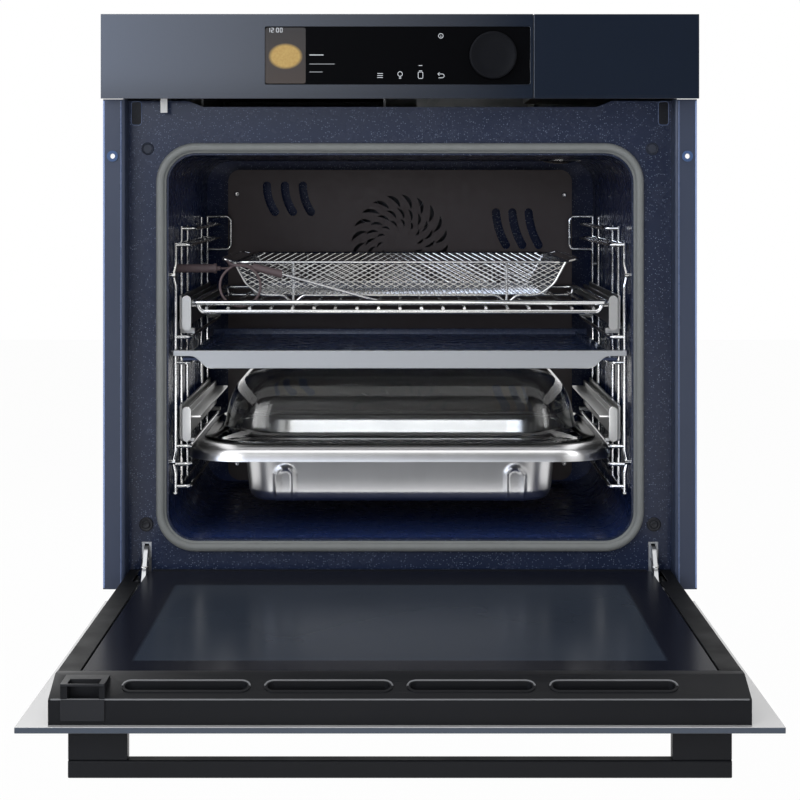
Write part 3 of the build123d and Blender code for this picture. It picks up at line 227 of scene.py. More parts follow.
def enamel(name, ground, fleck, gloss=0.2, sheen=0.28, coat=0.12, floor=0.0):
    """Vitreous enamel: deep ground colour, fine pale flecks and a slightly wavy gloss. With floor set, the ground
    below that level is painted paler, as painted light on the cavity's floor.
    """
    finish = Finish(name, coat_weight=coat, coat_roughness=0.06, ior=1.5, specular_ior_level=sheen)
    clouds = finish.noise(14.0, 3.0)
    fine, coarse = 520.0, 210.0
    flecks = (finish.cells(fine) < 0.24) * (finish.chance(fine) > 0.52)
    flecks = flecks.maximum((finish.cells(coarse) < 0.085) * 0.8)
    base = finish.mix(clouds, shade(ground, 0.9), shade(ground, 1.12))
    # Painted light: below the floor level the ground is lightened 1.9 times, standing in for light falling on the
    # cavity's floor.
    if floor:
        _, _, z = finish.axes()
        base = finish.mix(finish.remap(z, floor, floor + 0.03, 1.0, 0.0), base, shade(ground, 1.9))
    finish.set(base_color=finish.mix(flecks * 0.55, base, fleck))
    finish.dull(finish.noise(60.0, 4.0), 0.25, 0.75, gloss, 0.12)
    finish.bump(finish.noise(260.0, 3.0) + flecks * 0.25, 0.08, 0.2)
    return finish.material


def coated_sheet(name, colour, gloss=0.34):
    """Painted sheet steel with the fine orange peel of a sprayed coat."""
    finish = Finish(name, ior=1.5, specular_ior_level=0.35, coat_weight=0.1, coat_roughness=0.15)
    finish.tone(finish.noise(9.0, 4.0), colour, 0.86, 1.16)
    finish.dull(finish.noise(120.0, 3.0), 0.3, 0.7, gloss, 0.12)
    finish.bump(finish.noise(900.0, 2.0), 0.10, 0.15)
    return finish.material


def zinc(name, tone=0.5):
    """Galvanised sheet: crystal spangle, dull sheen and a few rolling marks."""
    finish = Finish(name, metallic=0.92, ior=1.5)
    marks = finish.noise(1.0, 3.0, 0.6, finish.stretched(6.0, 260.0, 260.0))
    level = finish.chance(95.0) * 0.55 + marks * 0.45
    dark, bright = shade((0.86, 0.88, 0.91), tone * 0.88), shade((0.94, 0.96, 1.0), tone * 1.12)
    finish.set(base_color=finish.mix(level, dark, bright))
    finish.dull(level, 0.2, 0.8, 0.34, 0.18)
    finish.bump(finish.noise(420.0, 2.0), 0.06, 0.1)
    return finish.material


def brushed(name, colour, along, gloss=0.24, depth=0.10):
    """Brushed metal with fine lines that run along one axis."""
    finish = Finish(name, metallic=1.0)
    scales = [900.0, 900.0, 900.0]
    scales["xyz".index(along)] = 9.0
    lines = finish.noise(1.0, 4.0, 0.65, finish.stretched(*scales))
    clouds = finish.noise(18.0, 3.0)
    finish.tone(lines * 0.7 + clouds * 0.3, colour, 0.84, 1.1)
    finish.dull(lines * 0.6 + clouds * 0.4, 0.25, 0.75, gloss, 0.14)
    finish.bump(lines, depth, 0.08)
    return finish.material


def satin(name, colour, gloss=0.24):
    """Pressed sheet steel with an even, soft sheen and faint drawing marks."""
    finish = Finish(name, metallic=1.0)
    marks = finish.noise(1.0, 4.0, 0.6, finish.stretched(70.0, 70.0, 16.0))
    finish.tone(marks, colour, 0.95, 1.04)
    finish.dull(marks, 0.3, 0.7, gloss, 0.03)
    return finish.material


def polished(name, colour, gloss=0.07, haze=0.12):
    """Plated or polished metal with light wipe marks and a trace of heat tint."""
    finish = Finish(name, metallic=1.0)
    wipes = finish.noise(1.0, 4.0, 0.6, finish.stretched(40.0, 40.0, 150.0))
    tint = finish.noise(11.0, 3.0)
    warm = (colour[0], colour[1] * 0.965, colour[2] * 0.90)
    finish.set(base_color=finish.mix(finish.remap(tint, 0.45, 0.7), colour, warm))
    finish.dull(wipes, 0.3, 0.75, gloss, haze)
    finish.bump(finish.noise(700.0, 2.0), 0.03, 0.06)
    return finish.material


def moulded(name, colour, gloss=0.42, grain=1400.0, depth=0.14, sheen=0.3):
    """Moulded plastic with an eroded grain and faint handling marks."""
    finish = Finish(name, ior=1.46, specular_ior_level=sheen)
    marks = finish.noise(24.0, 4.0)
    finish.tone(marks, colour, 0.82, 1.22)
    finish.dull(marks, 0.3, 0.72, gloss, 0.14)
    finish.bump(finish.cells(grain), depth, 0.08)
    return finish.material


def rubber(name, colour, ribs=0.0):
    """Silicone or rubber: matt, faintly dusty and, for the seal, finely knitted."""
    finish = Finish(name, ior=1.43)
    dust = finish.noise(70.0, 5.0, 0.65)
    finish.tone(dust, colour, 0.84, 1.16)
    finish.dull(dust, 0.3, 0.7, 0.46, 0.2)
    height = finish.noise(1100.0, 2.0)
    if ribs:
        x, _, z = finish.axes()
        height = height * 0.4 + ((x + z) * ribs).sine() * ((x - z) * ribs).sine() * 0.5
    finish.bump(height, 0.22, 0.2)
    return finish.material


def fibre(name, colour):
    """Mineral wool: matted fibres in a straw colour."""
    finish = Finish(name, roughness=0.95, ior=1.3)
    strands = finish.noise(1.0, 5.0, 0.7, finish.stretched(90.0, 500.0, 500.0))
    finish.tone(strands, colour, 0.6, 1.25)
    finish.bump(strands + finish.noise(60.0, 4.0), 0.6, 1.2)
    return finish.material


def painted_glass(name, colour, gloss=0.05, mirror=1.0, sheen=0.06):
    """Glass with a coat of paint behind it: sharp gloss over an even ground with fine flakes."""
    finish = Finish(name, specular_ior_level=sheen, coat_weight=mirror, coat_roughness=gloss, coat_ior=1.5)
    drift = finish.noise(5.0, 2.0)
    finish.tone(finish.chance(2600.0) * 0.35 + drift * 0.65, colour, 0.86, 1.18)
    finish.dull(drift, 0.3, 0.7, 0.30, 0.08)
    finish.bump(finish.noise(8.0, 1.0), 0.02, 0.3)
    return finish.material


def clear_glass(name, tint, smear=0.03, wave=0.0):
    """Clear pressed glass with a faint tint, finger smears and the soft waves of a mould."""
    finish = Finish(name, transmission_weight=1.0, ior=1.47)
    smears = finish.noise(26.0, 4.0, 0.6)
    finish.tone(smears, tint, 1.0, 0.97)
    finish.dull(smears, 0.5, 0.8, 0.0, smear)
    if wave:
        finish.bump(finish.noise(30.0, 2.0), wave, 1.0)
    return finish.material


def lit_sign(name, colour, strength):
    """Lit sign on the display, a little uneven as behind a dark filter."""
    finish = Finish(name, roughness=0.5, emission_strength=strength)
    glow = finish.noise(300.0, 2.0)
    finish.set(base_color=(0.01, 0.01, 0.012))
    finish.set(emission_color=finish.mix(glow, shade(colour, 0.86), colour))
    return finish.material


def finish_of(name, maker, *values):
    """The named finish, made on first use. Its full name differs from those of the frame's own materials."""
    full_name = f"finish_{name}"
    return bpy.data.materials.get(full_name) or maker(full_name, *values)


def box_of(node):
    """Lowest and highest corner of a solid, in millimetres."""
    return [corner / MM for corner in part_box(node)]


def dress(material, *nodes):
    """Gives solids of the frame a finish."""
    for node in nodes:
        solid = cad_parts[node]
        solid.data.materials.clear()
        solid.data.materials.append(material)


def piece(name, shape, material, body, stands_for=(), angle=32.0, bevel=0.0):
    """Turns a bmesh into an object that rides on a body, or on none yet."""
    bmesh.ops.recalc_face_normals(shape, faces=shape.faces)
    mesh = bpy.data.meshes.new(name)
    shape.to_mesh(mesh)
    shape.free()
    mesh.materials.append(material)
    mesh.shade_smooth()
    mesh.set_sharp_from_angle(angle=radians(angle))
    thing = bpy.data.objects.new(name, mesh)
    bpy.context.scene.collection.objects.link(thing)
    if bevel:
        edge = thing.modifiers.new("edge", "BEVEL")
        edge.width = bevel * MM
        edge.segments = 3
        edge.limit_method = "ANGLE"
        edge.angle_limit = radians(35)
        edge.harden_normals = True
    if body:
        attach(thing, body)
    if stands_for:
        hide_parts(*stands_for)
    return thing


def eased(name, node, material, body, width=0.6):
    """Copy of a solid with its sharp edges rounded, so that they catch the light."""
    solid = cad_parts[node]
    shape = bmesh.new()
    shape.from_mesh(solid.data)
    shape.transform(solid.matrix_world)
    bmesh.ops.remove_doubles(shape, verts=shape.verts, dist=0.001 * MM)
    bmesh.ops.dissolve_limit(shape, angle_limit=radians(0.5), verts=shape.verts, edges=shape.edges)
    return piece(name, shape, material, body, [node], bevel=width)


def add_turned(shape, profile, origin, axis, steps=32):
    """Turns (radius, height) pairs in millimetres round an axis; a third number makes a cross of that depth."""
    turn = Vector(axis).normalized().to_track_quat("Z", "Y").to_matrix().to_4x4()
    place = Matrix.Translation(Vector(origin) * MM) @ turn
    rings = []
    for radius, height, *lobe in profile:
        ring = []
        for step in range(steps if radius else 1):
            angle = 2 * pi * step / steps
            reach = radius * (1 + (lobe[0] if lobe else 0.0) * cos(4 * angle))
            ring.append(shape.verts.new(place @ (Vector((reach * cos(angle), reach * sin(angle), height)) * MM)))
        rings.append(ring)
    for lower, upper in zip(rings, rings[1:]):
        for step in range(steps):
            after = (step + 1) % steps
            corners = [lower[step % len(lower)], lower[after % len(lower)]]
            corners += [upper[after % len(upper)], upper[step % len(upper)]]
            shape.faces.new(list(dict.fromkeys(corners)))


def join_rings(shape, lower, upper):
    """Faces between two closed rings of equally many vertices."""
    count = len(lower)
    for step in range(count):
        after = (step + 1) % count
        shape.faces.new((lower[step], lower[after], upper[after], upper[step]))


def add_tube(shape, points, radius, sides=10, closed=False):
    """A round tube along points in millimetres; an open one has its ends capped."""
    points = [Vector(point) for point in points]
    count = len(points)
    rings = []
    normal = None
    for index, point in enumerate(points):
        before = points[index - 1] if index or closed else point
        after = points[(index + 1) % count] if index + 1 < count or closed else point
        way = (after - before).normalized()
        if normal is None:
            normal = way.orthogonal()
        normal = (normal - way * normal.dot(way)).normalized()
        side = way.cross(normal)
        ring = []
        for step in range(sides):
            angle = 2 * pi * step / sides
            ring.append(shape.verts.new((point + (normal * cos(angle) + side * sin(angle)) * radius) * MM))
        rings.append(ring)
    for lower, upper in zip(rings, rings[1:] + (rings[:1] if closed else [])):
        join_rings(shape, lower, upper)
    if not closed:
        shape.faces.new(rings[0][::-1])
        shape.faces.new(rings[-1])


def add_plate(shape, outline, origin, thickness, right=(1, 0, 0), up=(0, 0, 1)):
    """A flat plate from (u, v) outline points in millimetres, thickened along right x up."""
    right, up = Vector(right), Vector(up)
    ring = [shape.verts.new((Vector(origin) + right * u + up * v) * MM) for u, v in outline]
    face = shape.faces.new(ring)
    grown = bmesh.ops.extrude_face_region(shape, geom=[face])
    moved = [part for part in grown["geom"] if isinstance(part, bmesh.types.BMVert)]
    bmesh.ops.translate(shape, vec=right.cross(up) * thickness * MM, verts=moved)


def add_frame(shape, width, height, corner, middle, face, profile, steps=10):
    """A moulding round an upright opening: (outward, forward) profile points in millimetres from its inner line."""
    rings = []
    for outward, forward in profile:
        line = rounded(width + 2 * outward, height + 2 * outward, corner + outward, steps, middle)
        rings.append([shape.verts.new(Vector((x, face - forward, z)) * MM) for x, z in line])
    for inner, outer in zip(rings, rings[1:] + rings[:1]):
        join_rings(shape, inner, outer)


def rounded(width, height, corner, steps=6, middle=(0.0, 0.0)):
    """Outline of a rectangle with round corners."""
    points = []
    for quarter, (sx, sy) in enumerate(((1, 1), (-1, 1), (-1, -1), (1, -1))):
        for step in range(steps + 1):
            angle = pi / 2 * (quarter + step / steps)
            u = middle[0] + sx * (width / 2 - corner) + corner * cos(angle)
            v = middle[1] + sy * (height / 2 - corner) + corner * sin(angle)
            points.append((u, v))
    return points


def add_stack(shape, loops):
    """A closed skin over level loops of equally many points in millimetres, flat at its first and last loop."""
    rings = [[shape.verts.new(Vector(point) * MM) for point in loop] for loop in loops]
    for lower, upper in zip(rings, rings[1:]):
        join_rings(shape, lower, upper)
    shape.faces.new(rings[0])
    shape.faces.new(rings[-1])


def add_screw(shape, place, axis, radius, height=1.8):
    """A pan head with a cross recess, standing on its seat."""
    recess, lobe = radius * 0.42, 0.38
    profile = [(0.0, 0.0), (radius, 0.0), (radius, height * 0.35), (radius * 0.85, height * 0.8)]
    profile += [(radius * 0.68, height), (recess, height, lobe), (recess * 0.8, height * 0.45, lobe)]
    add_turned(shape, profile + [(0.0, height * 0.35)], place, axis, 24)


class OvenOperator(bpy.types.Operator):
    """Base of the operators that dress one group of pieces."""

    bl_options = {"REGISTER", "UNDO"}

    def execute(self, context):
        self.colours = context.scene.oven_colours
        self.sizes = context.scene.oven_sizes
        self.build(context.scene)
        return {"FINISHED"}


class OVEN_OT_stage(OvenOperator):
    """Pale floor, soft light and the camera."""

    bl_idname = "oven.stage"
    bl_label = "Stage"

    floor_level = -0.36
    floor_size = 9.0
    floor_glow = 0.97
    camera_place = (0.0, -2.118, 0.4181)
    focal_pixels = 2110.0
    image_pixels = 800.0
    horizon_pixels = 192.0
    lamps = (
        ("key", (-1.30, -2.0, 1.25), (0.0, 0.0, 0.35), (1.5, 1.5), 24.0, "matt gloss glass"),
        ("fill", (1.7, -1.9, 1.0), (0.0, 0.0, 0.3), (1.4, 1.4), 8.0, "matt gloss glass"),
        ("front", (0.0, -2.6, 0.35), (0.0, 0.3, 0.27), (1.0, 1.0), 14.0, "matt glass"),
        ("low", (0.0, -2.7, -0.12), (0.0, 0.2, 0.16), (0.42, 0.42), 2.6, "matt gloss glass"),
        ("top", (0.0, -0.5, 2.3), (0.0, -0.1, 0.0), (1.6, 1.6), 14.0, "matt gloss glass"),
        ("rear", (-0.8, 2.6, 1.9), (0.0, 0.3, 0.3), (1.8, 1.8), 26.0, "matt gloss glass"),
        ("sill", (0.0, 0.030, 0.078), (0.0, 0.15, 0.105), (0.40, 0.014), 0.035, "matt gloss"),
        ("roof_glow", (0.0, 0.20, 0.452), (0.0, 0.20, 0.0), (0.36, 0.26), 0.26, "matt"),
        ("glow_left", (-0.200, 0.20, 0.235), (-0.17, 0.20, 0.10), (0.30, 0.03), 0.05, "matt gloss"),
        ("glow_right", (0.200, 0.20, 0.235), (0.17, 0.20, 0.10), (0.30, 0.03), 0.05, "matt gloss"),
        ("card_left", (-0.205, 0.02, 0.200), (-0.10, 0.2, 0.18), (0.018, 0.06), 0.016, "gloss"),
        ("card_right", (0.205, 0.02, 0.200), (0.10, 0.2, 0.18), (0.018, 0.06), 0.016, "gloss"),
        ("card_back", (0.0, 0.392, 0.190), (0.0, 0.0, 0.190), (0.42, 0.06), 0.06, "gloss"),
        ("card_brim", (0.0, 0.070, 0.2365), (0.0, 0.090, 0.14), (0.36, 0.028), 0.030, "gloss"),
        ("card_tub_left", (-0.212, 0.11, 0.118), (0.0, 0.11, 0.118), (0.06, 0.05), 0.011, "gloss"),
        ("card_tub_right", (0.212, 0.11, 0.118), (0.0, 0.11, 0.118), (0.06, 0.05), 0.011, "gloss"),
    )
    room_depth = (-0.95, 0.1)
    dark_front = 0.10
    diffuse_sky = 0.30
    softbox = 4.2
    softbox_tint = (0.88, 1.0, 1.26)
    softbox_edge = (0.06, -0.16)
    softbox_foot = (0.015, 0.055)
    softbox_fade = (0.10, 0.26, 1.0, 0.12)

    def build(self, scene):
        scene.view_settings.view_transform = "Standard"
        self.light_world(scene)
        self.lay_floor(scene)
        self.hang_lamps(scene)
        camera = bpy.data.cameras.new("photo_view")
        camera.lens = camera.sensor_width * self.focal_pixels / self.image_pixels
        camera.shift_y = self.horizon_pixels / self.image_pixels - 0.5
        camera.clip_end = 50.0
        ahead = Vector(self.camera_place) + Vector((0.0, 1.0, 0.0))
        scene.camera = self.aim(scene, bpy.data.objects.new("photo_view", camera), self.camera_place, ahead)

    def hang_lamps(self, scene):
        """Lamps round the oven, and small ones in its mouth, under its roof and beside the dish."""
        for name, place, target, size, watts, surfaces in self.lamps:
            lamp = bpy.data.lights.new(name, "AREA")
            lamp.shape = "RECTANGLE"
            lamp.size, lamp.size_y = size
            lamp.energy = watts
            thing = self.aim(scene, bpy.data.objects.new(name, lamp), place, target)
            thing.visible_camera = False
            thing.visible_diffuse = "matt" in surfaces
            thing.visible_glossy = "gloss" in surfaces
            thing.visible_transmission = "glass" in surfaces

    def aim(self, scene, thing, place, target):
        scene.collection.objects.link(thing)
        thing.location = place
        thing.rotation_euler = (Vector(target) - Vector(place)).to_track_quat("-Z", "Y").to_euler()
        return thing

    def rays(self, graph, *kinds):
        """1 for rays of these kinds."""
        path = graph.node("ShaderNodeLightPath").socket.node.outputs
        found = Value(graph, path[kinds[0]])
        for kind in kinds[1:]:
            found = found.maximum(Value(graph, path[kind]))
        return found

    def light_world(self, scene):
        """White behind the oven and to all sides; reflections find a darker room in front of it."""
        world = bpy.data.worlds.new("studio")
        world.use_nodes = True
        scene.world = world
        graph = Graph(world.node_tree)
        side, depth, rise = graph.split(graph.node("ShaderNodeTexCoord", out="Generated"))
        room = graph.remap(depth, *self.room_depth, self.dark_front, 1.0)
        left = graph.remap(side, *self.softbox_edge)
        above = graph.remap(rise, *self.softbox_foot)
        box = left * above * graph.remap(rise, *self.softbox_fade) * (depth < 0.0)
        room = room + box * self.softbox
        seen = self.rays(graph, "Is Camera Ray")
        mirrored = self.rays(graph, "Is Glossy Ray", "Is Transmission Ray") * (1 - seen)
        strength = seen + mirrored * room + (1 - seen) * (1 - mirrored) * self.diffuse_sky
        sky = world.node_tree.nodes["Background"]
        colour = graph.mix(box * mirrored, (1.0, 1.0, 1.0), self.softbox_tint)
        graph.fill(sky, {"Color": colour, "Strength": strength})

    def lay_floor(self, scene):
        shape = bmesh.new()
        bmesh.ops.create_grid(shape, x_segments=1, y_segments=1, size=self.floor_size)
        mesh = bpy.data.meshes.new("floor")
        shape.to_mesh(mesh)
        shape.free()
        floor = bpy.data.objects.new("floor", mesh)
        floor.location.z = self.floor_level
        scene.collection.objects.link(floor)
        finish = Finish("pale_floor", roughness=0.9)
        finish.set(base_color=finish.mix(finish.noise(3.0), (0.86, 0.86, 0.86), (0.90, 0.90, 0.90)))
        glow = finish.node("ShaderNodeEmission", None, {"Color": (1.0, 1.0, 1.0, 1.0), "Strength": 1.0})
        surface = Value(finish, finish.shader.outputs[0])
        seen = self.rays(finish, "Is Camera Ray", "Is Glossy Ray", "Is Transmission Ray") * self.floor_glow
        both = finish.node("ShaderNodeMixShader", None, {0: seen, 1: surface, 2: glow})
        finish.fill(finish.tree.nodes["Material Output"], {"Surface": both})
        mesh.materials.append(finish.material)


class OVEN_OT_control_panel(OvenOperator):
    """Control panel with its display, signs, dial and water drawer front."""

    bl_idname = "oven.control_panel"
    bl_label = "Control panel"

    seam_lap = 3.0
    dial_ribs = 6
    dial_rib = ((0.0, 0.0), (0.0, 0.5), (0.35, 0.8))
    dial_rim = ((0.0, 1.6), (0.3, 0.6), (1.2, 0.1), (2.2, 0.0), (2.6, 0.25))
    sign_height = 7.0
    sign_gap = 0.12
    pad = rounded(4.6, 6.4, 1.0, 3)
    arrow = [(2.0 + 1.9 * sin(radians(turn)), -1.9 * cos(radians(turn))) for turn in range(30, 181, 30)]
    signs = (
        ((-19.8, 533.9), 0.0, [[(-2.8, level), (2.8, level)] for level in (-2.0, 0.0, 2.0)]),
        ((0.1, 535.4), 2.3, [[(-1.1, level), (1.1, level)] for level in (-3.2, -4.3)]),
        ((20.4, 534.2), 0.0, [pad + pad[:1], [(-1.5, 4.4), (1.5, 4.4)], [(-1.8, 9.6), (1.8, 9.6)]]),
        ((40.0, 533.5), 0.0, [
            [(-1.8, -1.9), (2.0, -1.9), *arrow, (-2.4, 1.9)], [(-0.8, 3.5), (-2.5, 1.9), (-0.8, 0.3)],
        ]),
        ((40.6, 573.3), 2.3, [[(0.0, 0.3), (0.0, -1.1)]]),
    )
    list_left = -90.0
    list_title = (554.3, 14.0)
    list_rows = ((545.3, 25.0), (537.4, 13.0))
    clock = "12:00"
    clock_place = (-131.4, 577.0)
    digits = {"0": "abcdef", "1": "bc", "2": "abged", ":": "hi"}
    digit_cell = 2.0
    digit_step = 3.6
    colon_step = 1.5
    bars = {"a": (0, 2, 1, 2), "b": (1, 2, 1, 1), "c": (1, 1, 1, 0), "d": (0, 0, 1, 0), "e": (0, 1, 0, 0),
            "f": (0, 2, 0, 1), "g": (0, 1, 1, 1), "h": (0, 0.6, 0.15, 0.6), "i": (0, 1.5, 0.15, 1.5)}
    picture_middle = (-113.8, 553.7)
    picture_size = (40.0, 55.5)
    dish_level = 0.5530
    dish_half = (0.0165, 0.0125)
    glow_levels = (0.527, 0.582)

    def build(self, scene):
        glass = finish_of("panel_glass_blue", painted_glass, self.colours.panel)
        eased("panel_pane", "panel_glass", glass, "oven", 0.5)
        eased("drawer_pane", "tank_front", glass, "tank", 0.5)
        dress(finish_of("display_black", painted_glass, (0.0012, 0.0013, 0.0018), 0.03, 0.012, 0.02), "display_module")
        dress(finish_of("chassis_zinc", zinc, 0.45), "panel_chassis", "tank_sleeve")
        dress(finish_of("tank_white", moulded, (0.55, 0.58, 0.60), 0.3, 700.0, 0.05), "tank_body")
        dress(finish_of("switch_white", moulded, (0.62, 0.63, 0.64), 0.36), "door_switch")
        self.shade_panel_gap()
        self.turn_dial()
        self.light_signs()

    def shade_panel_gap(self):
        """Dark strip behind the gap between the panel and the drawer's front, a dark sheet as painted shade in the
        gap.
        """
        low, high = box_of("panel_glass")
        gap = box_of("tank_front")[0].x - high.x
        outline = rounded(gap + self.seam_lap, high.z - low.z - 1.0, 0.9, 4)
        shape = bmesh.new()
        add_plate(shape, outline, (high.x + gap / 2, high.y + 1.2, (low.z + high.z) / 2), 1.0)
        # Painted shade: a nearly black strip fills the gap where shade falls between the panel and the drawer.
        strip = finish_of("seam_black", rubber, (0.006, 0.007, 0.010))
        piece("panel_seam", shape, strip, "oven", angle=30, bevel=0.2)

    def turn_dial(self):
        """Ribbed cap with a rounded rim and a slightly hollow face."""
        low, high = box_of("dial_knob")
        radius = (high.x - low.x) / 2
        middle = ((low.x + high.x) / 2, high.y, (low.z + high.z) / 2)
        reach = high.y - low.y
        satin = finish_of("dial_satin", moulded, (0.0055, 0.006, 0.0078), 0.38, 2200.0, 0.05, 0.05)
        dress(satin, "dial_stem")
        shape = bmesh.new()
        profile = [(0.0, 0.0), (radius - 0.8, 0.0), (radius - 0.4, 0.4)]
        for rib in range(self.dial_ribs):
            level = 1.0 + rib * (reach - 3.0) / self.dial_ribs
            profile += [(radius - inward, level + rise) for inward, rise in self.dial_rib]
        profile += [(radius - inward, reach - drop) for inward, drop in self.dial_rim]
        profile += [(radius * 0.5, reach - 0.4), (0.0, reach - 0.45)]
        add_turned(shape, profile, middle, (0, -1, 0), 72)
        piece("dial_cap", shape, satin, "dial", ["dial_knob"], 40)

    def light_signs(self):
        """White signs, title and clock, dim list rows and a picture, each a piece of its own."""
        glass = box_of("display_module")[0].y
        self.face = glass - self.sign_gap
        white = finish_of("sign_white", lit_sign, self.colours.screen, 0.9)
        dim = finish_of("sign_dim", lit_sign, shade(self.colours.screen, 0.5), 0.8)
        shape = bmesh.new()
        self.draw_signs(shape)
        self.draw_rows(shape, [self.list_title], 0.8)
        self.draw_clock(shape)
        piece("display_signs", shape, white, "oven")
        shape = bmesh.new()
        self.draw_rows(shape, self.list_rows, 0.7)
        piece("display_list", shape, dim, "oven")
        shape = bmesh.new()
        x, z = self.picture_middle
        add_plate(shape, rounded(*self.picture_size, 2.0, 4), (x, glass - 0.02, z), 0.06)
        piece("display_picture", shape, self.warm_picture(), "oven")

    def draw_signs(self, shape):
        unit = self.sizes.icon / MM / self.sign_height
        circle = [(cos(2 * pi * step / 24), sin(2 * pi * step / 24)) for step in range(24)]
        for (x, z), radius, lines in self.signs:
            for line in lines:
                self.stroke(shape, [(x + u * unit, z + v * unit) for u, v in line])
            if radius:
                self.stroke(shape, [(x + radius * unit * u, z + radius * unit * v) for u, v in circle], 0.54, True)

    def draw_rows(self, shape, rows, width):
        for level, length in rows:
            self.stroke(shape, [(self.list_left, level), (self.list_left + length, level)], width)

    def draw_clock(self, shape):
        left, base = self.clock_place
        for sign in self.clock:
            for bar in self.digits[sign]:
                a, b, c, d = (self.digit_cell * place for place in self.bars[bar])
                self.stroke(shape, [(left + a, base + b), (left + c, base + d)])
            left += self.colon_step if sign == ":" else self.digit_step

    def stroke(self, shape, line, width=0.55, closed=False):
        add_tube(shape, [(x, self.face, z) for x, z in line], width / 2, 6, closed)

    def warm_picture(self):
        """A plain warm disc that fades into the dark, as a lit dish does."""
        dark = (0.004, 0.003, 0.003)
        finish = Finish("picture_warm", roughness=0.4, emission_strength=0.7, base_color=dark)
        x, _, z = finish.axes()
        across = (x - self.picture_middle[0] * MM) / self.dish_half[0]
        upward = (z - self.dish_level) / self.dish_half[1]
        far = (across * across + upward * upward) ** 0.5
        dish = finish.remap(far, 0.82, 1.05, 1.0, 0.0)
        tint = finish.mix(finish.noise(420.0, 4.0, 0.6), (0.50, 0.27, 0.045), (0.78, 0.55, 0.16))
        glow = finish.remap(z, *self.glow_levels, 0.35, 0.03)
        ground = finish.mix(glow, dark, (0.10, 0.055, 0.03))
        finish.set(emission_color=finish.mix(dish, ground, tint))
        return finish.material


